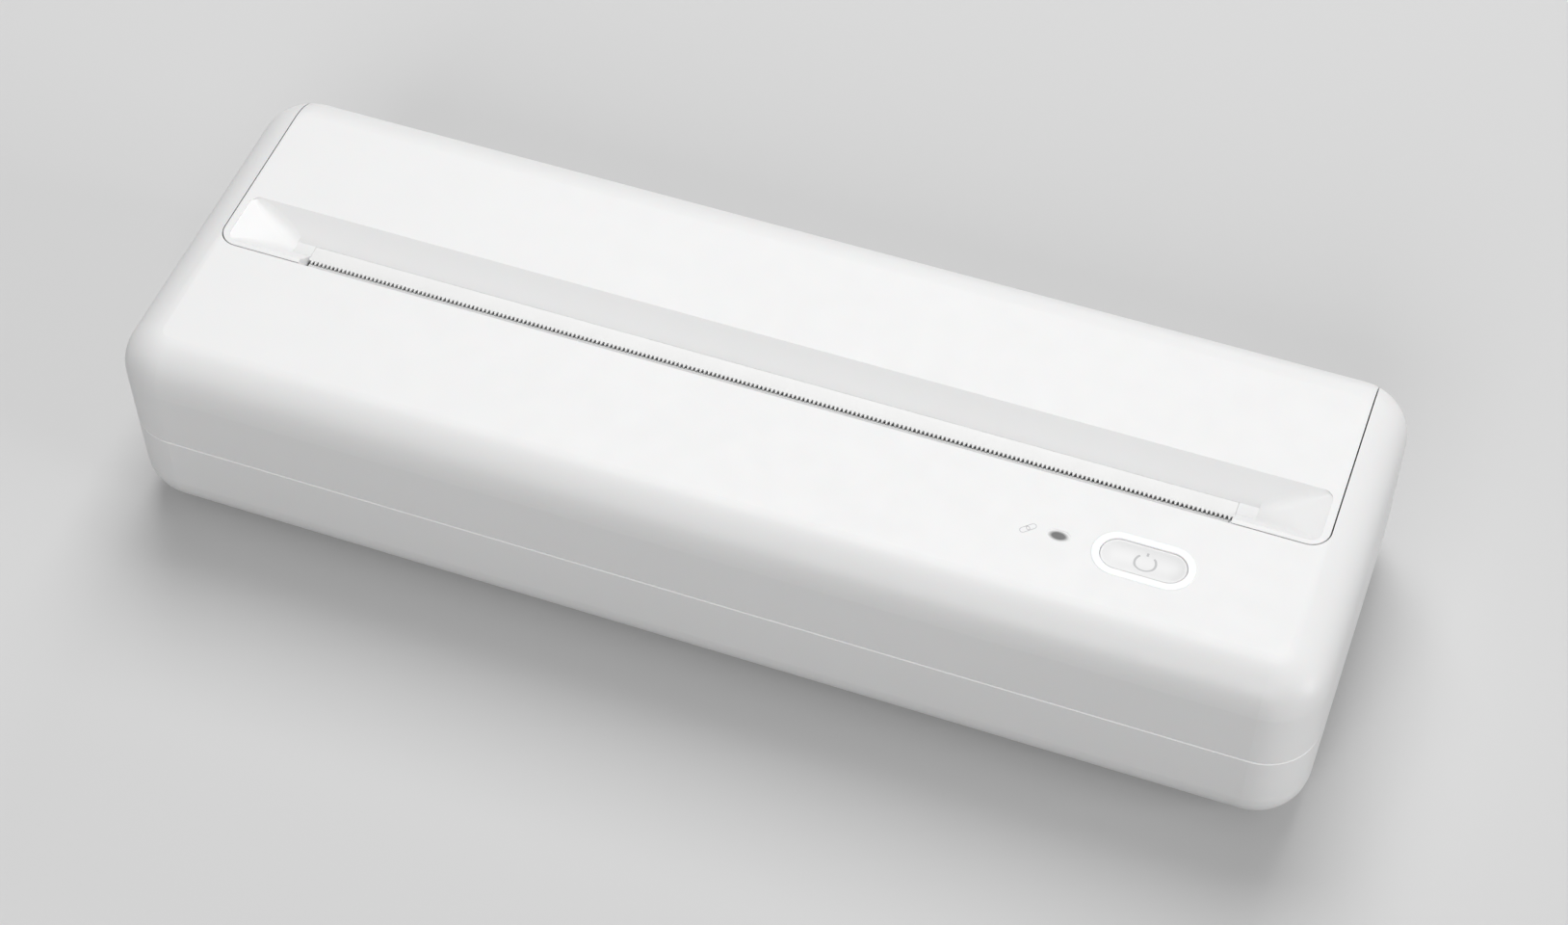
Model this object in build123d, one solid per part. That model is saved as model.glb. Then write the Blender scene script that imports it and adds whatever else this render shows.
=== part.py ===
from build123d import *
import math
import os

# A4 portable thermal printer: a long, low, round-edged box. The rear half of its top is a hinged
# cover that carries the platen roller and the tear bar, over a drop-in bay for the paper roll.
# The heated print head, its gear train, the motor, the cells and the boards sit in the front half.
#
# Frame while drawing: X along the length, -Y is the front, Z up from the underside of the casing.
# Every piece is lifted by the height of the feet when it is written, so Z = 0 is the table.

# ---- driving dimensions, millimetres ----
# paper
paper_width = 216.0
roll_diameter = 36.0
slot_side_play = 2.0            # slot beyond the paper, each side

# casing
length = 280.0
depth = 94.0
casing_height = 52.4
foot_proud = 0.6
wall = 2.0
plan_radius = 12.5
top_radius = 10.0
bottom_radius = 12.0
parting_height = 26.8
parting_groove = 0.1            # between the two casings
parting_bevel = 0.45            # along the lower casing's upper edge
tongue = 1.1                    # thickness of the locating tongue
tongue_play = 0.15
tongue_reach = 1.8              # how far the tongue stands above the parting height
tongue_root = 4.25              # how far its foot lies under the parting height
tongue_foot_height = 3.0
side_wall_setback = 6.0         # from the slot's front edge to the deep walls beside the cover
end_shelf_front_y = 11.0        # shelves at both ends of the bay, between frame and casing
end_shelf_z = 36.0
end_shelf_thickness = 2.0
screw_post_gap = 10.0           # from the side frame to the casing's screw posts
screw_tab_half = 5.0            # tabs that take the rear casing screws
screw_tab_thickness = 2.6

# cover
end_cap = 9.2                   # casing left at each end of the cover
cover_gap = 0.3
slot_front_y = -6.9             # front edge of the paper slot
cover_corner = 4.5
cover_rim_depth = 5.0
cover_rim_thickness = 2.0
hinge_height = 31.0
hinge_barrel_radius = 2.8
hinge_pin_radius = 1.5
hinge_pin_engaged = 10.0        # pin inside the cover's barrel
hinge_boss_radius = 3.4
hinge_boss_length = 4.0
hinge_knuckle_length = 6.8      # the casing's part of the barrel, each end
hinge_pin_cap = 0.6             # closed end of the pin's hole, short of the end cap
cover_rib_places = (30.0, 36.0)
cover_rib_thickness = 1.2
cover_rib_height = 3.0
running_gap = 0.05              # radial, shaft in a hole

# trough and tear bar
trough_depth = 3.6
trough_width = 15.9             # from the slot's front edge back to the trough's rear edge
trough_run = 7.0                # horizontal run of the rear slope
trough_end = 1.8                # cover left beyond the trough, each side
trough_land_past_slot = 4.5     # level land beyond the slot, each side
trough_skin = 1.9
trough_corner = 2.5
trough_front_run = 4.2          # horizontal run of the front slope, beside the slot
trough_end_shares = (1.0, 0.5, 0.03)    # of the depth, at three stages of the rising end
trough_rear_blends = (6.5, 9.0, 0.7)    # fillets behind and before the floor, at those stages
trough_front_blends = (3.6, 4.5, 0.4)
lip_flat = 1.2                  # flat rim in front of the trough, beside the slot
tear_bar_thickness = 0.5
tear_bar_play = 0.05            # around the bar, in its seat
tear_bar_tip_setback = 3.8      # from the slot's front edge to the tips of the teeth
tear_tooth_pitch = 1.0
tear_tooth_length = 0.9
tear_tooth_root = 0.66
tear_tooth_tip = 0.26
paper_gap = 0.25                # under the tear bar, over the casing's lip
slot_lip_thickness = 1.9
slot_lip_reach = 0.5            # of the lip, in under the teeth
slot_ramp_rise = 0.9            # slope that turns the paper up, before the teeth
slot_ramp_play = 0.5            # from the slope's foot to the tips of the teeth
slot_lip_setback = 0.8          # from the lip's edge to the cover's skin behind the paper

# platen roller
platen_radius = 5.0
platen_shaft_radius = 2.5
platen_headroom = 0.6           # between roller and trough floor
bush_radius = 4.0
bush_slot_play = 0.15
ear_wall = 1.4
ear_thickness = 2.2
roller_margin = 0.5             # rubber beyond the paper, each side
ear_play = 1.3                  # between the roller's end and the holder's ears
holder_setback = 3.0            # holder's flange behind the trough
holder_width = 14.0
nip_setback = 1.6               # nip behind the tips of the tear teeth
nip_gap = 0.15

# print head
ceramic_thickness = 0.8
ceramic_height = 11.0
heat_sink_thickness = 4.0
head_top_clearance = 0.9        # under the slot's lip
head_height = 20.9
head_pivot_rise = 2.5           # pivot above the heat sink's lower edge
head_pin_radius = 1.5
head_pin_in_sink = 6.0
head_end_play = 0.8             # between the heat sink's ends and the holder's ears
ceramic_end_margin = 0.3        # ceramic short of the roller's end
ceramic_drop = 0.4              # ceramic's top edge under the heat sink's
driver_cover_end = 6.0
driver_cover_thickness = 0.7
driver_cover_height = 2.5
sink_groove = 1.4
sink_groove_rises = (9.0, 12.0, 15.0)
spring_places = (-80.0, 0.0, 80.0)
spring_width = 8.0
spring_thickness = 0.3

# steel frame and paper bay
frame_thickness = 1.5
frame_play = 0.7                # between the cover's ears and the side frames
beam_setback = 6.2              # from the heat sink's front face to the beam
beam_thickness = 1.5
beam_lip = 3.0                  # folded top edge
beam_window_places = (-60.0, -20.0, 20.0, 60.0)
beam_window_width = 12.0
beam_window_height = 7.0
frame_shoulder_z = 37.5         # front part of the side frames, over the beam's foot
frame_rear_z = 35.0
frame_foot_reach = 5.0
frame_foot_places = ((-18.0, -6.0), (10.0, 26.0))
pin_end_play = 0.1              # pins short of the frame's outer face
bay_play = 1.0                  # bay wall around the roll
bay_rear_margin = 2.5
cradle_thickness = 1.2
cradle_leg_y = 11.0             # ribs under the cradle, before and behind its middle
cradle_leg_width = 7.0
cradle_leg_height = 10.0
cradle_rib_places = (-95.0, -35.0, 35.0, 95.0)
floor_gap = 0.3
guide_rise = 3.0                # cradle's front wall over the head's pivot
guide_fold = 2.5
sensor_x = (16.0, 24.0)
sensor_thickness = 2.2
sensor_height = 4.0

# gear train
gear_module = 0.6
gear_face = 3.0
gear_layer_gap = 1.2
platen_gear_teeth = 20
idler_teeth = 30
compound_small_teeth = 14
compound_large_teeth = 32
motor_pinion_teeth = 12
gear_backlash = 0.14
gear_post_radius = 1.5
gear_wall_play = 1.4            # from the side frame to the first layer of gears
train_angles = (198.0, 176.0)   # from the idler to the compound gear, and on to the motor

# motor, cells and boards
motor_radius = 11.5
motor_length = 14.3
motor_shaft_radius = 1.0
motor_pilot_radius = 4.5
motor_pilot_proud = 0.2
motor_edge = 0.8
cell_radius = 9.1
cell_length = 65.0
board_thickness = 1.6
cell_gap = 1.2
cell_cap_height = 1.2
cell_cap_radius = 3.0
holder_wall = 2.0
holder_play = 0.2
screw_post_radius = 3.6
screw_radius = 1.2
screw_grip = 7.0                # of the casing screws, above the parting
small_post_radius = 2.6
small_screw_radius = 0.8
small_screw_length = 5.0
small_screw_head_radius = 1.9
small_screw_head_height = 1.3
small_pilot_play = 0.05
board_hole_radius = 1.1
bite = 0.5                      # overlap of forms that are fused

# power button and indicator
button_end_distance = 44.7      # from the casing's end to the button's middle
button_y = -22.8
button_length = 19.0
button_width = 8.0
button_travel = 0.5
button_gap = 0.12               # around the button, in its ring
button_dish = 0.6
button_rim = 0.5                # level rim around the dish
button_sunk = 0.1               # rim under the casing's top
button_edge = 0.15
button_stem_play = 1.2          # stem over the switch's body
ring_under_play = 0.1           # button's skirt under the ring's flange
switch_side = 6.0
switch_height = 3.1
switch_plunger_radius = 1.7
led_length = 3.2
led_width = 1.6
led_height = 0.9
pipe_flange = 1.0
pipe_sunk = 0.05
ring_width = 1.9
ring_proud = 0.1
ring_flange = 1.5               # ring's flange beyond the ring, under the skin
ring_flange_thickness = 1.2
button_skirt = 0.9              # button's skirt beyond its face, under the ring
button_skirt_thickness = 1.0
button_stem_radius = 1.8
indicator_distance = 18.9       # from the button's middle
indicator_y = -22.6
indicator_length = 5.1
indicator_width = 3.0

# switch board
switch_board_drop = 7.7         # board's upper face under the casing's skin
switch_board_thickness = 1.2
switch_board_ends = (16.4, 22.2)        # board beyond the indicator and beyond the button
switch_board_sides = (9.2, 5.8)         # board before and behind the button's middle
switch_screw_inset = 4.0
switch_screw_setbacks = (5.2, 3.2)      # of the two screws, before the button's middle

# charging port
port_y = -27.0
port_width = 8.94
port_height = 3.2
port_length = 7.3
port_play = 0.25
port_wall = 0.3
port_back = 1.5
port_blade_width = 6.4
port_blade_thickness = 0.7
port_recess = 0.3               # mouth in from the casing's end face

# ---- places worked out from the driving dimensions ----
half_length = length / 2
half_depth = depth / 2
cover_half = half_length - end_cap
slot_half = paper_width / 2 + slot_side_play
roller_half = paper_width / 2 + roller_margin
ear_inner_x = roller_half + ear_play
ear_outer_x = ear_inner_x + ear_thickness
frame_inner_x = ear_outer_x + frame_play
frame_outer_x = frame_inner_x + frame_thickness
skin_under_z = casing_height - wall

land_z = casing_height - trough_depth
bar_under_z = land_z - tear_bar_thickness
trough_under_z = bar_under_z - trough_skin
trough_rear_y = slot_front_y + trough_width
land_rear_y = trough_rear_y - trough_run
tooth_tip_y = slot_front_y + tear_bar_tip_setback
tooth_root_y = tooth_tip_y + tear_tooth_length
slot_lip_top_z = bar_under_z - paper_gap
slot_lip_y = tooth_tip_y + slot_lip_reach
cover_skin_front_y = slot_lip_y + slot_lip_setback

nip_y = tooth_tip_y + nip_setback
platen_y = nip_y + nip_gap + platen_radius
platen_z = trough_under_z - platen_headroom - platen_radius

hinge_y = half_depth - hinge_barrel_radius
hinge_z = hinge_height
cap_wall_x = cover_half + cover_gap
barrel_half = cover_half - hinge_knuckle_length

head_top_z = slot_lip_top_z - slot_lip_thickness - head_top_clearance
head_bottom_z = head_top_z - head_height
sink_rear_y = nip_y - ceramic_thickness
sink_front_y = sink_rear_y - heat_sink_thickness
head_pivot_y = (sink_rear_y + sink_front_y) / 2
head_pivot_z = head_bottom_z + head_pivot_rise
head_half = ear_inner_x - head_end_play
beam_y = sink_front_y - beam_setback

bay_radius = roll_diameter / 2 + bay_play
bay_y = half_depth - wall - bay_rear_margin - bay_radius
bay_z = wall + floor_gap + cradle_thickness + bay_radius

port_x = -half_length + port_recess
layer_a_x = frame_outer_x + gear_wall_play
layer_b_x = layer_a_x + gear_face + gear_layer_gap

button_x = half_length - button_end_distance
indicator_x = button_x - indicator_distance


def slab(x, y, z):
    """A box between limits, each given as a (low, high) pair."""
    centre = [(low + high) / 2 for low, high in (x, y, z)]
    size = [high - low for low, high in (x, y, z)]
    return Pos(*centre) * Box(*size)


def rod(x, y, z, radius):
    """A cylinder along X between two x values, centred at y, z."""
    low, high = x
    return Pos((low + high) / 2, y, z) * Rot(0, 90, 0) * Cylinder(radius, high - low)


def post(x, y, z, radius):
    """An upright cylinder between two z values."""
    low, high = z
    return Pos(x, y, (low + high) / 2) * Cylinder(radius, high - low)


def plate(x, outline):
    """A sheet across the machine: an outline in Y and Z, thick from one x value to another."""
    low, high = x
    return extrude(Plane.YZ.offset(low) * outline, high - low)


def outline_of(*points):
    """A closed straight-sided outline."""
    return make_face(Polyline(*points, close=True))


def mirrored(shape):
    """The shape and its twin at the other end of the machine."""
    return shape + mirror(shape, Plane.YZ)


def body_form(inset):
    """The rounded outer form, drawn in by an inset on every side."""
    size = (length - 2 * inset, depth - 2 * inset, casing_height - 2 * inset)
    form = Pos(0, 0, casing_height / 2) * Box(*size)
    form = fillet(form.edges().filter_by(Axis.Z), plan_radius - inset)
    form = fillet(form.edges().group_by(Axis.Z)[-1], top_radius - inset)
    return fillet(form.edges().group_by(Axis.Z)[0], bottom_radius - inset)


def write(name, *shapes):
    """Lifts the shapes by the height of the feet and writes them as one node."""
    solids = [solid for shape in shapes for solid in shape.solids()]
    lifted = Pos(0, 0, foot_proud) * Compound(children=solids)
    export_step(lifted, f"parts/{name}.step")


# ---- shared cuts and seats ----
all_x = (-length, length)
all_y = (-depth, depth)
outer_form = body_form(0)
inner_form = body_form(wall)

post_x = frame_outer_x + screw_post_gap
post_y = 31.0
post_places = [(sx * post_x, sy * post_y) for sx in (-1, 1) for sy in (-1, 1)]
foot_x = 100.0
foot_y = 28.0
foot_places = [(sx * foot_x, sy * foot_y) for sx in (-1, 1) for sy in (-1, 1)]
foot_radius = 5.0
foot_recess = 0.8
foot_play = 0.1
screw_head_play = 0.2
screw_head_radius = 2.4
screw_head_height = 1.8
screw_head_z = 3.6
post_top_z = parting_height + parting_groove / 2
board_top_z = 18.6
board_post_places = [(-131.5, -34.0), (-131.5, -20.5), (-50.0, -34.0), (-50.0, -20.5)]
usb_z = board_top_z + port_height / 2
switch_board_x = (indicator_x - switch_board_ends[0], button_x + switch_board_ends[1])
switch_board_y = (button_y - switch_board_sides[0], button_y + switch_board_sides[1])
switch_board_top_z = skin_under_z - switch_board_drop
switch_board_z = (switch_board_top_z - switch_board_thickness, switch_board_top_z)
switch_board_posts = [
    (switch_board_x[0] + switch_screw_inset, button_y - switch_screw_setbacks[0]),
    (switch_board_x[1] - switch_screw_inset, button_y - switch_screw_setbacks[1]),
]
small_pilot_radius = small_screw_radius + small_pilot_play


def bay_outline(radius):
    """The roll's circle in the Y-Z plane."""
    return Pos(bay_y, bay_z) * Circle(radius)


# ---- casings ----
def lower_casing():
    groove_low = parting_height - parting_groove / 2
    block = outer_form & slab(all_x, all_y, (-1, groove_low))
    shell = chamfer(block.edges().group_by(Axis.Z)[-1], parting_bevel) - inner_form
    inside_tongue = body_form(wall + tongue_play + tongue)
    ring = body_form(wall + tongue_play) - inside_tongue
    root_z = parting_height - tongue_root - parting_groove
    back_half = cover_half + 2 * cover_gap + wall + hinge_boss_length
    back_gap = slab((-back_half, back_half), (0, depth), (0, casing_height))
    shell += (ring & slab(all_x, all_y, (root_z, parting_height + tongue_reach))) - back_gap
    foot = slab(all_x, all_y, (root_z, root_z + tongue_foot_height))
    shell += ((inner_form - inside_tongue) & foot) - back_gap
    for x, y in post_places:
        shell += post(x, y, (wall - bite, post_top_z), screw_post_radius)
    for x, y in board_post_places:
        shell += post(x, y, (wall - bite, board_top_z - board_thickness), small_post_radius) & outer_form
    for x, y in post_places:
        shell -= post(x, y, (-1, post_top_z + 1), screw_radius + running_gap)
        shell -= post(x, y, (-1, screw_head_z + screw_head_height), screw_head_radius + screw_head_play)
    for x, y in board_post_places:
        shell -= post(x, y, (board_top_z - 2 * small_screw_length, board_top_z), small_pilot_radius)
    for x, y in foot_places:
        shell -= post(x, y, (-1, foot_recess), foot_radius + foot_play)
    port = SlotOverall(port_width + 2 * port_play, port_height + 2 * port_play)
    opening = Plane.YZ.offset(-half_length - 1) * Pos(port_y, usb_z) * port
    return shell - extrude(opening, wall + 2)


def cover_opening(play, low_z):
    """The space the cover closes, grown by a play, from a height up."""
    half = cover_half + play
    front = slot_front_y + cover_gap - play
    block = slab((-half, half), (front, depth), (low_z, casing_height + 5))
    front_corners = block.edges().filter_by(Axis.Z).group_by(Axis.Y)[0]
    return fillet(front_corners, cover_corner + play)


def upper_casing():
    groove_high = parting_height + parting_groove / 2
    shell = (outer_form - inner_form) & slab(all_x, all_y, (groove_high, casing_height + 1))
    around = cover_opening(cover_gap + wall, 0) & inner_form
    lip_under_z = slot_lip_top_z - slot_lip_thickness
    front_wall = slab(all_x, (-depth, trough_rear_y), (lip_under_z, casing_height))
    deep_wall = slab(all_x, (slot_front_y + side_wall_setback, depth), (groove_high, casing_height))
    shell = shell + (around & (front_wall + deep_wall)) - cover_opening(cover_gap, 0)
    lip_half = slot_half - cover_gap
    ramp_foot_y = tooth_tip_y - slot_ramp_play
    ramp_top_z = slot_lip_top_z + slot_ramp_rise
    lip = outline_of(
        (slot_front_y - wall, lip_under_z),
        (slot_front_y - wall, ramp_top_z),
        (ramp_foot_y - slot_ramp_rise, ramp_top_z),
        (ramp_foot_y, slot_lip_top_z),
        (slot_lip_y, slot_lip_top_z),
        (slot_lip_y, lip_under_z),
    )
    shell += plate((-lip_half, lip_half), lip)
    boss = rod((cap_wall_x, cap_wall_x + wall + hinge_boss_length), hinge_y, hinge_z, hinge_boss_radius)
    shell += mirrored(boss & body_form(wall / 2))
    knuckle = rod((barrel_half + cover_gap, cap_wall_x + 1), hinge_y, hinge_z, hinge_barrel_radius)
    shell += mirrored(knuckle & outer_form)
    shelf_y = (end_shelf_front_y, hinge_y - hinge_barrel_radius - 3 * cover_gap)
    shelf_z = (end_shelf_z, end_shelf_z + end_shelf_thickness)
    shell += mirrored(slab((frame_outer_x + cover_gap, cap_wall_x + 1), shelf_y, shelf_z))
    tab_x = (post_x - screw_tab_half, cap_wall_x + 1)
    tab_y = (post_y - screw_tab_half, post_y + screw_tab_half)
    shell += mirrored(slab(tab_x, tab_y, (post_top_z, post_top_z + screw_tab_thickness)))
    for x, y in post_places[0::2]:
        shell += post(x, y, (post_top_z, skin_under_z + bite), screw_post_radius)
    board_z = switch_board_z[1]
    for x, y in switch_board_posts:
        shell += post(x, y, (board_z, skin_under_z + bite), small_post_radius)
        shell -= post(x, y, (board_z - 1, board_z + small_screw_length - 1), small_pilot_radius)
    for x, y in post_places:
        shell -= post(x, y, (post_top_z - 1, post_top_z + screw_grip + 2), screw_radius + running_gap)
    pin_hole_x = (barrel_half - 1, cap_wall_x - hinge_pin_cap)
    shell -= mirrored(rod(pin_hole_x, hinge_y, hinge_z, hinge_pin_radius))
    ring_hole = SlotOverall(button_length + 2 * ring_width, button_width + 2 * ring_width)
    shell -= extrude(Pos(button_x, button_y, skin_under_z - 1) * ring_hole, wall + 2)
    window = SlotOverall(indicator_length, indicator_width)
    return shell - extrude(Pos(indicator_x, indicator_y, skin_under_z - 1) * window, wall + 2)


# ---- cover ----
def trough_outline(share, skin):
    """The trough's outline in Y and Z, with a share of its depth and a skin added below."""
    rear = trough_rear_y + skin
    front = slot_front_y + cover_gap + lip_flat - skin
    floor_z = casing_height - share * trough_depth - skin
    return outline_of(
        (rear, casing_height + 1),
        (rear, casing_height),
        (rear - share * trough_run - skin / 2, floor_z),
        (front + share * trough_front_run + skin / 2, floor_z),
        (front, casing_height),
        (front, casing_height + 1),
    )


def trough_end_form(skin):
    """The right-hand end, where the floor rises and both slopes blend into it."""
    first_x = slot_half + trough_land_past_slot
    last_x = cover_half - trough_end + skin
    places = (first_x, (first_x + last_x) / 2, last_x)
    sections = []
    stages = zip(places, trough_end_shares, trough_rear_blends, trough_front_blends)
    for x, share, rear_blend, front_blend in stages:
        section = trough_outline(share, skin)
        floor_corners = section.vertices().sort_by(Axis.Y)[:2].sort_by(Axis.X)
        section = fillet(floor_corners[1], rear_blend)
        floor_corners = section.vertices().sort_by(Axis.Y)[:2].sort_by(Axis.X)
        section = fillet(floor_corners[0], front_blend)
        sections.append(Plane.YZ.offset(x) * section)
    return loft(sections)


def trough_form(skin):
    """The whole trough as a solid: level along the slot, rising to nothing at its ends."""
    land_half = slot_half + trough_land_past_slot
    form = plate((-land_half, land_half), trough_outline(1.0, skin)) + mirrored(trough_end_form(skin))
    half = cover_half - trough_end + skin
    front = slot_front_y + cover_gap + lip_flat - skin
    plan = slab((-half, half), (front, trough_rear_y + skin), (0, casing_height + 2))
    return form & fillet(plan.edges().filter_by(Axis.Z), trough_corner)


def top_cover():
    block = cover_opening(0, hinge_z) & outer_form
    cavity = slab(all_x, (slot_front_y - wall, depth), (0, casing_height)) & inner_form
    cavity -= trough_form(trough_skin)
    land_x = (-slot_half - trough_skin, slot_half + trough_skin)
    cavity -= slab(land_x, (slot_front_y, land_rear_y + trough_skin), (trough_under_z, casing_height))
    rim_x = (cover_half - cover_rim_thickness, cover_half + 1)
    rim = mirrored(slab(rim_x, (slot_front_y, depth), (hinge_z, casing_height)))
    cavity -= rim - body_form(cover_rim_depth)
    cover = block - cavity
    barrel_top_z = hinge_z + hinge_barrel_radius
    above_barrel = slab((-cover_half, cover_half), (half_depth - wall, half_depth), (hinge_z - bite, barrel_top_z))
    cover += above_barrel & outer_form
    cover -= mirrored(rod((barrel_half, length), hinge_y, hinge_z, hinge_barrel_radius + cover_gap))
    cover += rod((-barrel_half, barrel_half), hinge_y, hinge_z, hinge_barrel_radius)
    cover -= trough_form(0)
    high = casing_height + 1
    cover -= slab((-slot_half, slot_half), (slot_front_y - 1, cover_skin_front_y), (0, high))
    cover -= slab((-slot_half, slot_half), (cover_skin_front_y - 1, land_rear_y), (bar_under_z, high))
    rib_half = cover_half - cover_rim_thickness - 1
    rib_z = (skin_under_z - cover_rib_height, skin_under_z + bite)
    for rib_y in cover_rib_places:
        cover += slab((-rib_half, rib_half), (rib_y, rib_y + cover_rib_thickness), rib_z)
    bore_x = (barrel_half - hinge_pin_engaged - bite, length)
    return cover - mirrored(rod(bore_x, hinge_y, hinge_z, hinge_pin_radius + running_gap))


def hinge_pins():
    low = barrel_half - hinge_pin_engaged
    return mirrored(rod((low, cap_wall_x - hinge_pin_cap), hinge_y, hinge_z, hinge_pin_radius))


def tear_bar():
    edge = slot_half - tear_bar_play
    rear_y = land_rear_y - tear_bar_play
    count = int(2 * edge / tear_tooth_pitch)
    start = -count * tear_tooth_pitch / 2
    points = [(-edge, rear_y), (-edge, tooth_root_y)]
    for index in range(count):
        middle = start + (index + 0.5) * tear_tooth_pitch
        points += [
            (middle - tear_tooth_root / 2, tooth_root_y),
            (middle - tear_tooth_tip / 2, tooth_tip_y),
            (middle + tear_tooth_tip / 2, tooth_tip_y),
            (middle + tear_tooth_root / 2, tooth_root_y),
        ]
    points += [(edge, tooth_root_y), (edge, rear_y)]
    return extrude(Pos(0, 0, bar_under_z) * outline_of(*points), tear_bar_thickness)


def platen_holder():
    flange_front_y = trough_rear_y + holder_setback
    flange_y = (flange_front_y, flange_front_y + holder_width)
    flange_z = (skin_under_z - wall, skin_under_z)
    holder = slab((-ear_outer_x, ear_outer_x), flange_y, flange_z)
    ring_radius = bush_radius + ear_wall
    web = outline_of(
        (flange_y[1], flange_z[1]),
        (flange_y[0], flange_z[1]),
        (platen_y + ring_radius, platen_z + ring_radius),
        (platen_y, platen_z + ring_radius),
        (platen_y, platen_z - ring_radius + 1),
        (platen_y + ring_radius, platen_z - ring_radius + 1),
        (flange_y[1], flange_z[0] - wall),
    )
    ear = web + Pos(platen_y, platen_z) * Circle(ring_radius)
    holder += mirrored(plate((ear_inner_x, ear_outer_x), ear))
    return holder - mirrored(rod((ear_inner_x - 1, ear_outer_x + 1), platen_y, platen_z, bush_radius))


# ---- platen and print head ----
shaft_end_x = layer_b_x + gear_face + 0.8


def platen_bushes():
    bush = rod((ear_inner_x, frame_outer_x + 0.9), platen_y, platen_z, bush_radius)
    return mirrored(bush - rod((0, length), platen_y, platen_z, platen_shaft_radius + running_gap))


def platen_shaft():
    return rod((-frame_outer_x - 2.0, shaft_end_x), platen_y, platen_z, platen_shaft_radius)


def platen_roller():
    sleeve = rod((-roller_half, roller_half), platen_y, platen_z, platen_radius)
    return sleeve - rod((-length, length), platen_y, platen_z, platen_shaft_radius)


def heat_sink():
    sink = slab((-head_half, head_half), (sink_front_y, sink_rear_y), (head_bottom_z, head_top_z))
    groove_y = (sink_front_y - 1, sink_front_y + sink_groove)
    for rise in sink_groove_rises:
        low = head_bottom_z + rise
        sink -= slab((-head_half - 1, head_half + 1), groove_y, (low, low + sink_groove))
    pins = mirrored(rod((head_half - head_pin_in_sink, length), head_pivot_y, head_pivot_z, head_pin_radius))
    return sink - pins


ceramic_top_z = head_top_z - ceramic_drop
ceramic_low_z = ceramic_top_z - ceramic_height


def print_head():
    """The glazed ceramic strip, and the cover over the driver chips along its foot."""
    half = roller_half - ceramic_end_margin
    strip = slab((-half, half), (sink_rear_y, nip_y), (ceramic_low_z, ceramic_top_z))
    cover_half_x = roller_half - driver_cover_end
    cover_y = (nip_y, nip_y + driver_cover_thickness)
    cover_z = (ceramic_low_z + bite, ceramic_low_z + bite + driver_cover_height)
    return [strip, slab((-cover_half_x, cover_half_x), cover_y, cover_z)]


def head_pivot_pins():
    pin_x = (head_half - head_pin_in_sink, frame_outer_x - pin_end_play)
    return mirrored(rod(pin_x, head_pivot_y, head_pivot_z, head_pin_radius))


def head_springs():
    """Flat leaf springs, bent to a shallow arch between the beam and the heat sink."""
    z = platen_z - 1.0
    foot_y = beam_y + 0.17
    arch = Polyline((foot_y, z - 9), (foot_y, z - 5), (sink_front_y - 0.35, z), (foot_y + 0.6, z + 3))
    leaf = make_face(offset(arch, spring_thickness / 2))
    return [plate((x - spring_width / 2, x + spring_width / 2), leaf) for x in spring_places]


# ---- frame ----
def bush_path(radius):
    """The curved slot that a bush follows as the cover swings, as an outline in Y and Z."""
    reach = math.hypot(platen_y - hinge_y, platen_z - hinge_z)
    start = math.degrees(math.atan2(platen_z - hinge_z, platen_y - hinge_y))
    ring = Circle(reach + radius) - Circle(reach - radius)
    angle_low = math.radians(start - 30)
    far = reach + 3 * radius
    wedge = outline_of(
        (0, 0),
        (far * math.cos(math.radians(start)), far * math.sin(math.radians(start))),
        (far * math.cos(angle_low), far * math.sin(angle_low)),
    )
    sector = Pos(hinge_y, hinge_z) * (ring & wedge)
    return sector + Pos(platen_y, platen_z) * Circle(radius)


def gear_layout():
    """Centres and tooth phases of the train, from the platen gear down to the motor's pinion."""
    def pitch_radius(teeth):
        return gear_module * teeth / 2

    def next_phase(teeth_a, phase_a, direction, teeth_b):
        turned = teeth_a * (direction - phase_a)
        return direction + math.pi - (math.pi - turned) / teeth_b

    exit_angle = math.atan2(hinge_y - platen_y, platen_z - hinge_z)
    down = -math.pi / 2 - (math.pi / 2 - exit_angle)
    platen = {"centre": (platen_y, platen_z), "phase": 0.0}
    reach = pitch_radius(platen_gear_teeth) + pitch_radius(idler_teeth)
    idler_centre = (platen_y + reach * math.cos(down), platen_z + reach * math.sin(down))
    idler = {"centre": idler_centre, "phase": next_phase(platen_gear_teeth, 0.0, down, idler_teeth)}
    first = pitch_radius(idler_teeth) + pitch_radius(compound_small_teeth)
    second = pitch_radius(compound_large_teeth) + pitch_radius(motor_pinion_teeth)
    toward, onward = (math.radians(angle) for angle in train_angles)
    compound_centre = (idler_centre[0] + first * math.cos(toward), idler_centre[1] + first * math.sin(toward))
    small_phase = next_phase(idler_teeth, idler["phase"], toward, compound_small_teeth)
    compound = {"centre": compound_centre, "phase": small_phase}
    motor_centre = (compound_centre[0] + second * math.cos(onward), compound_centre[1] + second * math.sin(onward))
    motor_phase = next_phase(compound_large_teeth, 0.0, onward, motor_pinion_teeth)
    motor = {"centre": motor_centre, "phase": motor_phase}
    return platen, idler, compound, motor


platen_wheel, idler_wheel, compound_wheel, motor_wheel = gear_layout()


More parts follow.
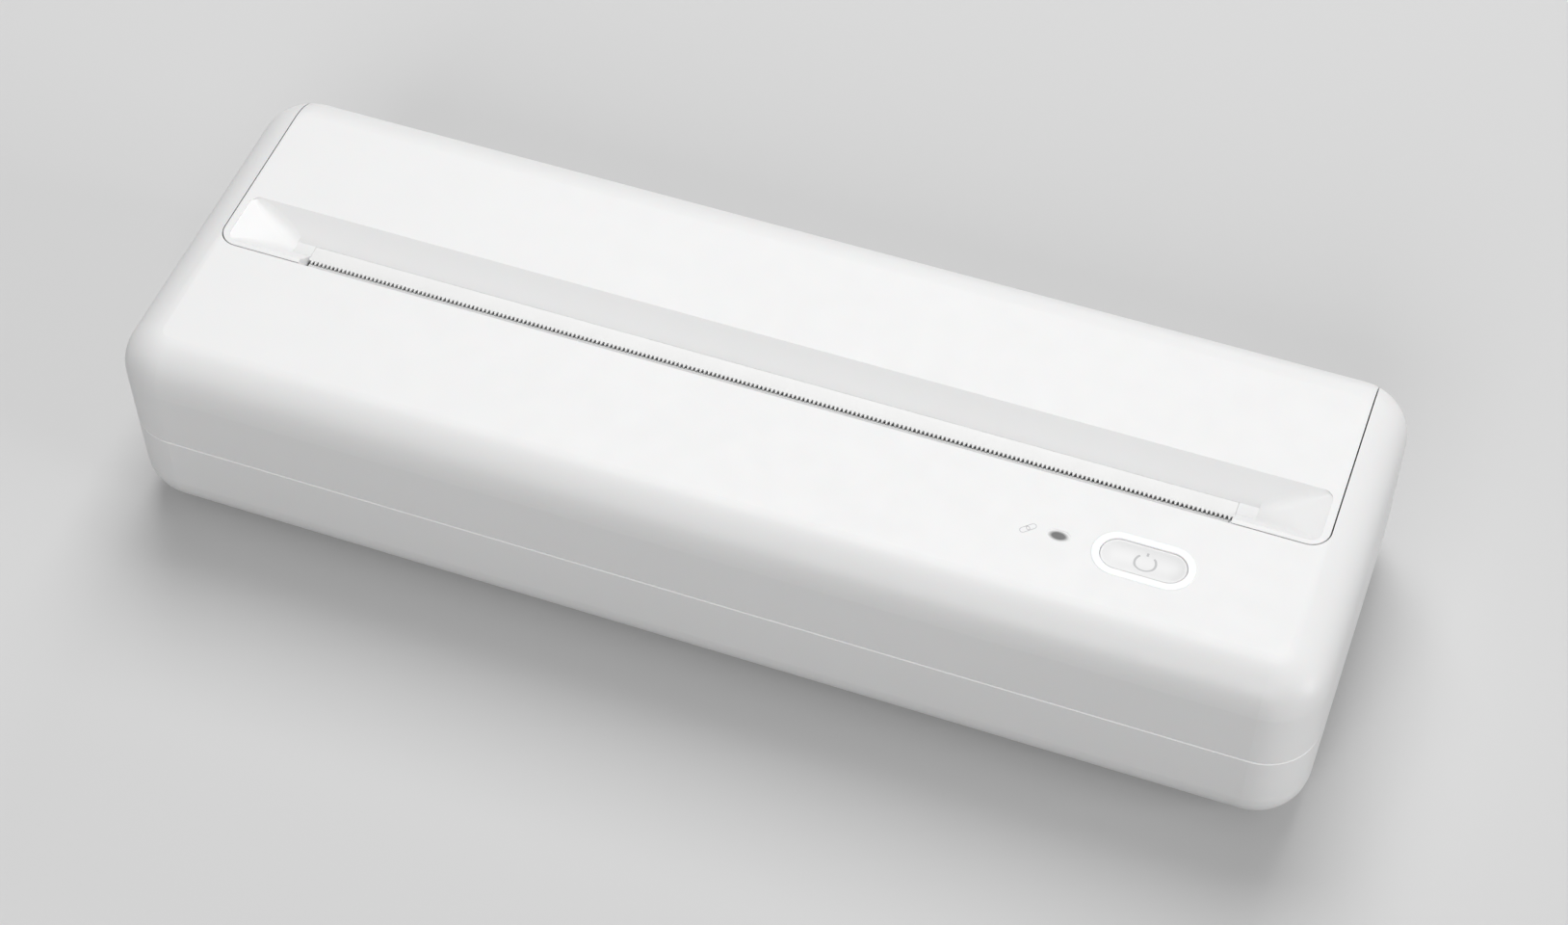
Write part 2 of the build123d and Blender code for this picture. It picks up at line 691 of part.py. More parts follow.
def gear_ring(x, wheel, teeth, phase):
    """A spur gear with involute flanks and short tips, centred on a wheel of the train."""
    pressure_angle = math.radians(20)
    pitch = gear_module * teeth / 2
    base = pitch * math.cos(pressure_angle)
    tip = pitch + 0.8 * gear_module
    root = pitch - 1.1 * gear_module

    def half_angle(radius):
        at = math.acos(min(1.0, base / radius))
        spread = math.tan(pressure_angle) - pressure_angle - (math.tan(at) - at)
        return math.pi / (2 * teeth) - gear_backlash / (4 * pitch) + spread

    flank = [(root, half_angle(max(base, root))), (pitch, half_angle(pitch)), (tip, half_angle(tip))]
    points = []
    for index in range(teeth):
        middle = phase + 2 * math.pi * index / teeth
        side = [(radius, middle - half) for radius, half in flank]
        side += [(radius, middle + half) for radius, half in reversed(flank)]
        points += [(radius * math.cos(angle), radius * math.sin(angle)) for radius, angle in side]
    return plate(x, Pos(*wheel["centre"]) * outline_of(*points))


layer_a = (layer_a_x, layer_a_x + gear_face)
layer_b = (layer_b_x, layer_b_x + gear_face)


def platen_gear():
    gear = gear_ring(layer_b, platen_wheel, platen_gear_teeth, platen_wheel["phase"])
    return gear - rod((0, length), platen_y, platen_z, platen_shaft_radius)


def idler_gear():
    gear = gear_ring(layer_b, idler_wheel, idler_teeth, idler_wheel["phase"])
    hub = rod((layer_b[0] - 0.9, layer_b[1]), *idler_wheel["centre"], 3.2)
    return gear + hub - rod((0, length), *idler_wheel["centre"], gear_post_radius + running_gap)


def compound_gear():
    large = gear_ring(layer_a, compound_wheel, compound_large_teeth, 0.0)
    small = gear_ring((layer_a[1] - 0.1, layer_b[1]), compound_wheel, compound_small_teeth, compound_wheel["phase"])
    gear = large + small
    return gear - rod((0, length), *compound_wheel["centre"], gear_post_radius + running_gap)


def motor_pinion():
    gear = gear_ring(layer_a, motor_wheel, motor_pinion_teeth, motor_wheel["phase"])
    return gear - rod((0, length), *motor_wheel["centre"], motor_shaft_radius)


motor_x = (frame_inner_x - motor_length, frame_inner_x)


def motor_shaft():
    return rod((motor_x[0] + 3, layer_a[1] + 0.5), *motor_wheel["centre"], motor_shaft_radius)


def motor_can():
    centre = motor_wheel["centre"]
    can = rod(motor_x, *centre, motor_radius)
    can = chamfer(can.edges().group_by(Axis.X)[0], motor_edge)
    can += rod((motor_x[0] - motor_edge, motor_x[0] + bite), *centre, motor_pilot_radius)
    can += rod((motor_x[1] - bite, frame_outer_x + motor_pilot_proud), *centre, motor_pilot_radius)
    return can - rod((motor_x[0] + 2.5, length), *centre, motor_shaft_radius + running_gap)


def gear_posts():
    """Studs riveted to the right side frame, each with a head that keeps its gear on."""
    posts = []
    for wheel in (idler_wheel, compound_wheel):
        stud = rod((frame_outer_x, layer_b[1] + 0.3), *wheel["centre"], gear_post_radius)
        stud += rod((layer_b[1] + 0.3, layer_b[1] + 1.1), *wheel["centre"], 2.3)
        posts.append(stud)
    posts[0] += rod((frame_outer_x, layer_b[0] - 1.2), *idler_wheel["centre"], 2.6)
    posts[1] += rod((frame_outer_x, layer_a[0] - 0.3), *compound_wheel["centre"], 2.6)
    return posts


frame_top_z = head_top_z - 0.2


def frame_outline(front_y):
    rear = half_depth - wall - 3.0
    return outline_of(
        (front_y, 12.0),
        (front_y + 7, wall + 1.5),
        (34.0, wall + 1.5),
        (rear, 12.0),
        (rear - 0.8, hinge_z - 5),
        (rear - 4, frame_rear_z),
        (platen_y + 10, frame_rear_z),
        (platen_y + 7, frame_top_z),
        (sink_front_y - 3, frame_top_z),
        (beam_y - 2, frame_shoulder_z),
        (front_y, frame_shoulder_z),
    )


def side_frame(front_y):
    """The right-hand frame, bent out into two feet that stand on the casing's floor."""
    sheet = plate((frame_inner_x, frame_outer_x), frame_outline(front_y))
    sheet -= plate((frame_inner_x - 1, frame_outer_x + 1), bush_path(bush_radius + bush_slot_play))
    sheet -= rod((0, length), head_pivot_y, head_pivot_z, head_pin_radius + running_gap)
    for foot_y in frame_foot_places:
        sheet += slab((frame_inner_x, frame_outer_x + frame_foot_reach), foot_y, (wall, wall + frame_thickness))
    return sheet


def right_side_frame():
    front = motor_wheel["centre"][0] - motor_radius - 1.0
    return side_frame(front) - rod((0, length), *motor_wheel["centre"], motor_pilot_radius + running_gap)


def left_side_frame():
    return mirror(side_frame(beam_y - 3.5), Plane.YZ)


def cross_beam():
    web_z = (head_bottom_z, head_top_z - 1.0)
    web = slab((-frame_inner_x, frame_inner_x), (beam_y - beam_thickness, beam_y), web_z)
    top_z = (web_z[1] - beam_thickness, web_z[1])
    beam = web + slab((-frame_inner_x, frame_inner_x), (beam_y - beam_lip, beam_y), top_z)
    window_z = (web_z[0] + 4, web_z[0] + 4 + beam_window_height)
    for x in beam_window_places:
        window_x = (x - beam_window_width / 2, x + beam_window_width / 2)
        beam -= slab(window_x, (beam_y - beam_lip, beam_y + 1), window_z)
    lip_y = (beam_y - 2 * beam_lip, beam_y - beam_thickness)
    over_motor = slab((motor_x[0] - 2, length), lip_y, (0, frame_shoulder_z + bite))
    return beam - over_motor


def paper_cradle():
    far = 3 * bay_radius
    lower_half = Pos(bay_y, bay_z - far / 2) * Rectangle(2 * far, far)
    trough = (bay_outline(bay_radius + cradle_thickness) - bay_outline(bay_radius)) & lower_half
    front = bay_y - bay_radius
    guide_top = head_pivot_z + guide_rise
    guide = outline_of(
        (front - cradle_thickness, bay_z),
        (front, bay_z),
        (front, guide_top),
        (front - guide_fold, guide_top + guide_fold),
        (front - guide_fold - 0.9, guide_top + guide_fold - 0.9),
        (front - cradle_thickness, guide_top - 0.5),
    )
    half = ear_inner_x - cover_gap
    cradle = plate((-half, half), trough + guide)
    for leg_y in (bay_y - cradle_leg_y, bay_y + cradle_leg_y):
        leg = Pos(leg_y, wall + cradle_leg_height / 2) * Rectangle(cradle_leg_width, cradle_leg_height)
        leg -= bay_outline(bay_radius + cradle_thickness / 2)
        for x in cradle_rib_places:
            cradle += plate((x - wall / 2, x + wall / 2), leg) & inner_form
    return cradle


# ---- power: cells and their holder ----
cells_y = -30.0
cells_z = wall + 1.5 + cell_radius
cells_x0 = -39.0


def battery_cells():
    cells = []
    for index in range(2):
        low = cells_x0 + index * (cell_length + cell_gap)
        shoulder_x = low + cell_length - cell_cap_height
        cell = rod((low, shoulder_x), cells_y, cells_z, cell_radius)
        cell += rod((shoulder_x - bite, low + cell_length), cells_y, cells_z, cell_cap_radius)
        cells.append(cell)
    return cells


def battery_holder():
    low = cells_x0 - holder_wall - holder_play
    high = cells_x0 + 2 * cell_length + cell_gap + holder_wall + holder_play
    reach = cell_radius + cell_gap
    tray = slab((low, high), (cells_y - reach, cells_y + reach), (wall, cells_z)) & inner_form
    tray -= rod((low + holder_wall, high - holder_wall), cells_y, cells_z, cell_radius + holder_play)
    middle = cells_x0 + cell_length + cell_gap / 2
    divider_x = (middle - cell_gap / 3, middle + cell_gap / 3)
    divider_y = (cells_y - cell_radius / 2, cells_y + cell_radius / 2)
    return tray + slab(divider_x, divider_y, (wall, cells_z - cell_radius / 2))


# ---- boards ----
board_x = (-half_length + wall + 1.5, -46.0)
board_y = (-38.0, -17.2)


def main_board():
    board = slab(board_x, board_y, (board_top_z - board_thickness, board_top_z))
    for x, y in board_post_places:
        board -= post(x, y, (0, casing_height), board_hole_radius)
    for x, y in post_places:
        board -= post(x, y, (0, casing_height), screw_post_radius + 0.4)
    return board


def board_screws():
    screws = []
    for x, y in board_post_places:
        head_z = (board_top_z, board_top_z + small_screw_head_height)
        screw = post(x, y, (board_top_z - small_screw_length, board_top_z + bite), small_screw_radius)
        screws.append(screw + post(x, y, head_z, small_screw_head_radius))
    for x, y in switch_board_posts:
        low = switch_board_z[0]
        screw = post(x, y, (low - bite, low + small_screw_length - 0.5), small_screw_radius)
        screws.append(screw + post(x, y, (low - small_screw_head_height, low), small_screw_head_radius))
    return screws


# Places in X and Y and the height of each part on the main board.
board_layout = {
    "processor": ((-104.0, -94.0), (-34.0, -24.0), 1.2),
    "motor driver": ((-76.0, -70.0), (-32.0, -26.0), 1.0),
    "radio": ((-112.0, -101.0), (-23.0, -18.0), 2.2),
    "coil": ((-62.0, -56.0), (-34.0, -28.0), 3.0),
    "charger": ((-118.5, -112.0), (-36.0, -31.0), 1.0),
    "power connector": ((-90.0, -78.0), (-36.5, -31.5), 4.5),
}


def board_parts():
    return [slab(x, y, (board_top_z, board_top_z + tall)) for x, y, tall in board_layout.values()]


cable_x = (-84.0, -64.0)
cable_thickness = 0.3
cable_bend = 3.0
cable_z = board_top_z + 1.4
cable_setback = 0.4             # behind the heat sink
cable_y = sink_rear_y + cable_setback
connector_y = (-22.0, -17.7)
connector_height = 2.6
connector_wall = 2.0
connector_play = 0.1
connector_reach = 2.5           # how far the cable goes into its connector


def cable_connector():
    body_x = (cable_x[0] - connector_wall, cable_x[1] + connector_wall)
    body = slab(body_x, connector_y, (board_top_z, board_top_z + connector_height))
    mouth_x = (cable_x[0] - connector_play, cable_x[1] + connector_play)
    mouth_z = (cable_z - cable_thickness / 2 - running_gap, cable_z + cable_thickness / 2 + running_gap)
    return body - slab(mouth_x, (connector_y[1] - connector_reach, 0), mouth_z)


def head_cable():
    """Flat ribbon from the foot of the ceramic, down behind the heat sink and forward to the board."""
    half = cable_thickness / 2
    upright_z = (cable_z + cable_bend, ceramic_low_z - cover_gap)
    upright = slab(cable_x, (cable_y - half, cable_y + half), upright_z)
    ring = Circle(cable_bend + half) - Circle(cable_bend - half)
    turn = Pos(cable_y - cable_bend, cable_z + cable_bend) * ring
    quarter = Pos(cable_y, cable_z) * Rectangle(2 * cable_bend, 2 * cable_bend)
    level_y = (connector_y[1] - connector_reach + connector_play, cable_y - cable_bend)
    level = slab(cable_x, level_y, (cable_z - half, cable_z + half))
    return upright + plate(cable_x, turn & quarter) + level


def usb_port():
    x = (port_x, port_x + port_length)
    mouth = SlotOverall(port_width - 2 * port_wall, port_height - 2 * port_wall)
    port = plate(x, Pos(port_y, usb_z) * SlotOverall(port_width, port_height))
    port -= plate((x[0] - 1, x[1] - port_back), Pos(port_y, usb_z) * mouth)
    blade_y = (port_y - port_blade_width / 2, port_y + port_blade_width / 2)
    blade_z = (usb_z - port_blade_thickness / 2, usb_z + port_blade_thickness / 2)
    return port + slab((x[0] + port_back, x[1] - port_back + 0.1), blade_y, blade_z)


# ---- power button and indicator ----
def button_ring():
    opening = SlotOverall(button_length + 2 * button_gap, button_width + 2 * button_gap)
    outside = SlotOverall(button_length + 2 * ring_width, button_width + 2 * ring_width)
    flange_margin = 2 * ring_width + 2 * ring_flange
    flange = SlotOverall(button_length + flange_margin, button_width + flange_margin)
    ring = extrude(Pos(0, 0, skin_under_z) * (outside - opening), wall + ring_proud)
    ring = chamfer(ring.edges().group_by(Axis.Z)[-1], ring_proud)
    ring += extrude(Pos(0, 0, ring_under_z) * (flange - opening), ring_flange_thickness)
    return Pos(button_x, button_y, 0) * ring


ring_under_z = skin_under_z - ring_flange_thickness
button_top_z = casing_height - button_sunk
button_skirt_z = ring_under_z - ring_under_play - button_skirt_thickness
button_stem_z = switch_board_z[1] + switch_height + button_stem_play
switch_plunger_z = button_stem_z - button_travel - running_gap


def dish_form():
    """A shallow bowl with rounded ends, as a capsule that reaches just below the button's top."""
    half_width = button_width / 2 - button_rim
    radius = half_width**2 / (2 * button_dish) + button_dish / 2
    centre_z = button_top_z - button_dish + radius
    straight = (button_length - button_width) / 2
    ends = Pos(-straight, 0, centre_z) * Sphere(radius) + Pos(straight, 0, centre_z) * Sphere(radius)
    return rod((-straight, straight), 0, centre_z, radius) + ends


def power_button():
    face = SlotOverall(button_length, button_width)
    face_low_z = skin_under_z - bite
    cap = extrude(Pos(0, 0, face_low_z) * face, button_top_z - face_low_z)
    cap = chamfer(cap.edges().group_by(Axis.Z)[-1], button_edge)
    cap -= dish_form()
    skirt = SlotOverall(button_length + 2 * button_skirt, button_width + 2 * button_skirt)
    cap += extrude(Pos(0, 0, button_skirt_z) * skirt, button_skirt_thickness)
    cap += extrude(Pos(0, 0, button_skirt_z) * face, face_low_z - button_skirt_z + bite)
    stem = post(0, 0, (button_stem_z, button_skirt_z + bite), button_stem_radius)
    return Pos(button_x, button_y, 0) * (cap + stem)


def switch_board():
    board = slab(switch_board_x, switch_board_y, switch_board_z)
    for x, y in switch_board_posts:
        board -= post(x, y, (0, casing_height), board_hole_radius)
    return board


def tactile_switch():
    top = switch_board_z[1]
    half = switch_side / 2
    body_x = (button_x - half, button_x + half)
    body_y = (button_y - half, button_y + half)
    body = slab(body_x, body_y, (top, top + switch_height))
    plunger_z = (top + switch_height - bite, switch_plunger_z)
    return body + post(button_x, button_y, plunger_z, switch_plunger_radius)


def status_led():
    top = switch_board_z[1]
    led_x = (indicator_x - led_length / 2, indicator_x + led_length / 2)
    led_y = (indicator_y - led_width / 2, indicator_y + led_width / 2)
    return slab(led_x, led_y, (top, top + led_height))


def light_pipe():
    window = SlotOverall(indicator_length, indicator_width)
    flange = SlotOverall(indicator_length + 2 * pipe_flange, indicator_width + 2 * pipe_flange)
    flange_z = skin_under_z - pipe_flange
    low = switch_board_z[1] + led_height + cover_gap
    pipe = extrude(Pos(0, 0, low) * window, casing_height - pipe_sunk - low)
    pipe += extrude(Pos(0, 0, flange_z) * flange, pipe_flange)
    return Pos(indicator_x, indicator_y, 0) * pipe


# ---- feet, screws, sensor ----
def rubber_feet():
    return [post(x, y, (-foot_proud, foot_recess), foot_radius) for x, y in foot_places]


def casing_screws():
    screws = []
    for x, y in post_places:
        shank = post(x, y, (screw_head_z, post_top_z + screw_grip), screw_radius)
        screws.append(shank + post(x, y, (screw_head_z, screw_head_z + screw_head_height), screw_head_radius))
    return screws


def paper_sensor():
    """Reflective sensor let into the front wall of the cradle."""
    y = bay_y - bay_radius - cradle_thickness
    return slab(sensor_x, (y - sensor_thickness, y), (bay_z + 1, bay_z + 1 + sensor_height))


os.makedirs("parts", exist_ok=True)
nodes = {
    "lower_casing": [lower_casing()],
    "upper_casing": [upper_casing()],
    "top_cover": [top_cover()],
    "tear_bar": [tear_bar()],
    "platen_holder": [platen_holder()],
    "platen_bushes": [platen_bushes()],
    "platen_roller": [platen_roller()],
    "platen_shaft": [platen_shaft()],
    "platen_gear": [platen_gear()],
    "idler_gear": [idler_gear()],
    "compound_gear": [compound_gear()],
    "motor_pinion": [motor_pinion()],
    "motor_shaft": [motor_shaft()],
    "motor_can": [motor_can()],
    "gear_posts": gear_posts(),
    "hinge_pins": [hinge_pins()],
    "heat_sink": [heat_sink()],
    "print_head": print_head(),
    "head_pivot_pins": [head_pivot_pins()],
    "head_springs": head_springs(),
    "head_cable": [head_cable()],
    "cable_connector": [cable_connector()],
    "left_side_frame": [left_side_frame()],
    "right_side_frame": [right_side_frame()],
    "cross_beam": [cross_beam()],
    "paper_cradle": [paper_cradle()],
    "paper_sensor": [paper_sensor()],
    "battery_cells": battery_cells(),
    "battery_holder": [battery_holder()],
    "main_board": [main_board()],
    "board_parts": board_parts(),
    "board_screws": board_screws(),
    "usb_port": [usb_port()],
    "button_ring": [button_ring()],
    "power_button": [power_button()],
    "switch_board": [switch_board()],
    "tactile_switch": [tactile_switch()],
    "status_led": [status_led()],
    "light_pipe": [light_pipe()],
    "rubber_feet": rubber_feet(),
    "casing_screws": casing_screws(),
}
for name, shapes in nodes.items():
    write(name, *shapes)
print("hinge", hinge_y, hinge_z + foot_proud, "platen", platen_y, platen_z + foot_proud)
print("head pivot", head_pivot_y, head_pivot_z + foot_proud)
for title, wheel in (("idler", idler_wheel), ("compound", compound_wheel), ("motor", motor_wheel)):
    print(title, wheel["centre"][0], wheel["centre"][1] + foot_proud)
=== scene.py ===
"""Looks of an A4 portable thermal printer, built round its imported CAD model."""

import logging
import math
import sys
from dataclasses import dataclass, field
from enum import Enum
from functools import cache

import bmesh
import bpy
from mathutils import Matrix, Vector


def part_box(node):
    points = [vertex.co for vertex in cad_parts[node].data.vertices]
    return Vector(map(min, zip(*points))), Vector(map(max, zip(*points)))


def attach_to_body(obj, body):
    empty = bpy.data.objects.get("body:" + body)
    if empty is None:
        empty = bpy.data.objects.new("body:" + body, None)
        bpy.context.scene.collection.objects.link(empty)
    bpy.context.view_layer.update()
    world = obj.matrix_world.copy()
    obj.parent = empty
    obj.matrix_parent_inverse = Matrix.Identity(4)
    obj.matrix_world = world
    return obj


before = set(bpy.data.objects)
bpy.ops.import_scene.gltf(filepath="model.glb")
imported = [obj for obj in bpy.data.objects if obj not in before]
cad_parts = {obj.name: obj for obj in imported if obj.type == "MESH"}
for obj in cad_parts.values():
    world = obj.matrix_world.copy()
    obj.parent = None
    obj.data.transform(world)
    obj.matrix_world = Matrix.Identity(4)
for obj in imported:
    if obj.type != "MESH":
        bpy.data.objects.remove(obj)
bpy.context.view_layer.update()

MM = 0.001
PHOTO_WIDTH = 1628.0
PHOTO_HEIGHT = 960.0

log = logging.getLogger("printer")

Colour = tuple[float, float, float]
Point = tuple[float, float, float]


# ---------------------------------------------------------------- materials


class NodeBuilder:
    """A material's node tree, with short calls for the nodes that the finishes use."""

    def __init__(self, name: str) -> None:
        """Start a material with an empty tree.

        Args:
            name: The material's name.
        """
        self.material = bpy.data.materials.new(name)
        self.material.use_nodes = True
        self.tree = self.material.node_tree
        self.tree.nodes.clear()
        self.output = self.tree.nodes.new("ShaderNodeOutputMaterial")

    def node(self, kind: str, **settings: object) -> bpy.types.ShaderNode:
        """Add a node and set its properties.

        Args:
            kind: The node type's identifier.
            **settings: Properties of the node.

        Returns:
            The new node.
        """
        made = self.tree.nodes.new(kind)
        for key, value in settings.items():
            setattr(made, key, value)
        return made

    def link(self, source: bpy.types.NodeSocket, target: bpy.types.NodeSocket) -> None:
        """Join an output to an input."""
        self.tree.links.new(source, target)

    def position(self, stretch: Point = (1.0, 1.0, 1.0)) -> bpy.types.NodeSocket:
        """Object coordinates in metres, scaled along each axis.

        Args:
            stretch: Factors along X, Y and Z.

        Returns:
            The vector output.
        """
        coordinates = self.node("ShaderNodeTexCoord")
        mapping = self.node("ShaderNodeMapping")
        mapping.inputs["Scale"].default_value = stretch
        self.link(coordinates.outputs["Object"], mapping.inputs["Vector"])
        return mapping.outputs["Vector"]

    def noise(
        self, period: float, detail: float = 2.0, stretch: Point = (1.0, 1.0, 1.0)
    ) -> bpy.types.NodeSocket:
        """Noise whose grains are about a given size.

        Args:
            period: Size of a grain, in metres.
            detail: Octaves of finer noise.
            stretch: Factors along the axes, under 1 to draw the grain out.

        Returns:
            The noise's value output.
        """
        texture = self.node("ShaderNodeTexNoise")
        texture.inputs["Scale"].default_value = 1.0 / period
        texture.inputs["Detail"].default_value = detail
        self.link(self.position(stretch), texture.inputs["Vector"])
        return texture.outputs["Fac"]

    def spread(self, value: bpy.types.NodeSocket, low: float, high: float) -> bpy.types.NodeSocket:
        """Map the middle of a noise's span onto a range.

        Args:
            value: A value around 0.5.
            low: Result at 0.3.
            high: Result at 0.7.

        Returns:
            The mapped output.
        """
        ranged = self.node("ShaderNodeMapRange")
        ranged.inputs["From Min"].default_value = 0.3
        ranged.inputs["From Max"].default_value = 0.7
        ranged.inputs["To Min"].default_value = low
        ranged.inputs["To Max"].default_value = high
        self.link(value, ranged.inputs["Value"])
        return ranged.outputs["Result"]

    def blend(
        self, value: bpy.types.NodeSocket, first: Colour, second: Colour, low: float = 0.3, high: float = 0.7
    ) -> bpy.types.NodeSocket:
        """Colours between two, driven by a value.

        Args:
            value: The driving value.
            first: Colour at the low end.
            second: Colour at the high end.
            low: Value of the low end.
            high: Value of the high end.

        Returns:
            The colour output.
        """
        ramp = self.node("ShaderNodeValToRGB")
        ramp.color_ramp.elements[0].position = low
        ramp.color_ramp.elements[1].position = high
        ramp.color_ramp.elements[0].color = (*first, 1.0)
        ramp.color_ramp.elements[1].color = (*second, 1.0)
        self.link(value, ramp.inputs["Fac"])
        return ramp.outputs["Color"]

    def painted_highlight_band(
        self, base: bpy.types.NodeSocket, band: tuple[float, float], colour: Colour
    ) -> bpy.types.NodeSocket:
        """Paint a highlight: another colour between two heights.

        Args:
            base: The colour outside the band.
            band: Lowest and highest Z of the band, in metres.
            colour: The painted highlight's colour inside the band.

        Returns:
            The colour output.
        """
        parts = self.node("ShaderNodeSeparateXYZ")
        self.link(self.position(), parts.inputs["Vector"])
        inside = self.node("ShaderNodeMath", operation="COMPARE")
        inside.inputs[1].default_value = sum(band) / 2
        inside.inputs[2].default_value = (band[1] - band[0]) / 2
        self.link(parts.outputs["Z"], inside.inputs[0])
        mix = self.node("ShaderNodeMix", data_type="RGBA")
        self.link(inside.outputs[0], mix.inputs["Factor"])
        self.link(base, mix.inputs["A"])
        mix.inputs["B"].default_value = (*colour, 1.0)
        return mix.outputs["Result"]

    def bump(
        self, height: bpy.types.NodeSocket, depth: float, strength: float, edge_radius: float = 0.0
    ) -> bpy.types.NodeSocket:
        """A surface normal raised by a height, over edges that are softened first.

        Args:
            height: The height's value.
            depth: Metres between height 0 and 1.
            strength: Strength from 0 to 1.
            edge_radius: Radius of the softened edges in metres, or 0 for sharp ones.

        Returns:
            The normal output.
        """
        bumped = self.node("ShaderNodeBump")
        bumped.inputs["Distance"].default_value = depth
        bumped.inputs["Strength"].default_value = strength
        self.link(height, bumped.inputs["Height"])
        if edge_radius:
            softened = self.node("ShaderNodeBevel", samples=6)
            softened.inputs["Radius"].default_value = edge_radius
            self.link(softened.outputs["Normal"], bumped.inputs["Normal"])
        return bumped.outputs["Normal"]

    def principled(self, **values: float) -> bpy.types.ShaderNode:
        """Add the surface shader and join it to the output.

        Args:
            **values: Constants by socket name, with _ for a space.

        Returns:
            The shader node.
        """
        shader = self.node("ShaderNodeBsdfPrincipled")
        for key, value in values.items():
            shader.inputs[key.replace("_", " ")].default_value = value
        self.link(shader.outputs["BSDF"], self.output.inputs["Surface"])
        return shader


def dimmed(colour: Colour, factor: float) -> Colour:
    """A colour scaled by a factor."""
    return tuple(channel * factor for channel in colour)


@dataclass(frozen=True)
class MouldedFinish:
    """Injection-moulded plastic with a fine spark-eroded skin."""

    name: str
    colour: Colour
    roughness: float = 0.42
    specular: float = 0.4
    cloud: float = 0.012
    grain_size: float = 0.00028
    grain_depth: float = 0.000012
    subsurface: float = 0.0
    edge_radius: float = 0.0
    # Heights and colour of an optional painted highlight band.
    band: tuple[float, float] | None = None
    painted_highlight_colour: Colour = (0.94, 0.94, 0.94)

    def build(self) -> bpy.types.Material:
        """Build the material.

        Returns:
            The material, with clouding, fine grain, uneven gloss and its painted highlight band if it has
            one.
        """
        nodes = NodeBuilder(self.name)
        shader = nodes.principled(Specular_IOR_Level=self.specular)
        shader.inputs["Subsurface Weight"].default_value = self.subsurface
        shader.inputs["Subsurface Scale"].default_value = 0.001
        clouds = nodes.noise(0.035, 3.0)
        colour = nodes.blend(clouds, dimmed(self.colour, 1.0 - self.cloud), self.colour)
        # Painted highlight: a brighter band along the lower casing's parting edge, where its chamfer would
        # catch the light.
        if self.band:
            colour = nodes.painted_highlight_band(colour, self.band, self.painted_highlight_colour)
        nodes.link(colour, shader.inputs["Base Color"])
        gloss = nodes.noise(0.006, 2.0)
        roughness = nodes.spread(gloss, self.roughness - 0.03, self.roughness + 0.03)
        nodes.link(roughness, shader.inputs["Roughness"])
        grain = nodes.noise(self.grain_size, 1.0)
        skin = nodes.bump(grain, self.grain_depth, 0.35, self.edge_radius)
        nodes.link(skin, shader.inputs["Normal"])
        return nodes.material


@dataclass(frozen=True)
class MetalFinish:
    """Machined, rolled or plated metal with its grain drawn along one axis."""

    name: str
    colour: Colour
    roughness: float = 0.32
    grain_size: float = 0.0002
    stretch: Point = (0.04, 1.0, 1.0)
    anisotropy: float = 0.4

    def build(self) -> bpy.types.Material:
        """Build the material.

        Returns:
            The material, with a drawn grain and slight stains.
        """
        nodes = NodeBuilder(self.name)
        shader = nodes.principled(Metallic=1.0, Anisotropic=self.anisotropy)
        grain = nodes.noise(self.grain_size, 2.0, self.stretch)
        stains = nodes.noise(0.012, 3.0)
        colour = nodes.blend(stains, dimmed(self.colour, 0.9), self.colour)
        nodes.link(colour, shader.inputs["Base Color"])
        roughness = nodes.spread(grain, self.roughness - 0.07, self.roughness + 0.09)
        nodes.link(roughness, shader.inputs["Roughness"])
        nodes.link(nodes.bump(grain, 0.000006, 0.4), shader.inputs["Normal"])
        return nodes.material


@dataclass(frozen=True)
class RubberFinish:
    """Ground or moulded rubber."""

    name: str
    colour: Colour
    roughness: float = 0.78
    grain_size: float = 0.00012
    grain_depth: float = 0.00002

    def build(self) -> bpy.types.Material:
        """Build the material.

        Returns:
            The material, with a matt ground skin and faint bloom.
        """
        nodes = NodeBuilder(self.name)
        shader = nodes.principled(Specular_IOR_Level=0.3)
        shader.inputs["Sheen Weight"].default_value = 0.12
        bloom = nodes.noise(0.009, 3.0)
        nodes.link(nodes.blend(bloom, self.colour, dimmed(self.colour, 1.5)), shader.inputs["Base Color"])
        grain = nodes.noise(self.grain_size, 2.0)
        roughness = nodes.spread(grain, self.roughness - 0.06, self.roughness + 0.08)
        nodes.link(roughness, shader.inputs["Roughness"])
        nodes.link(nodes.bump(grain, self.grain_depth, 0.6), shader.inputs["Normal"])
        return nodes.material


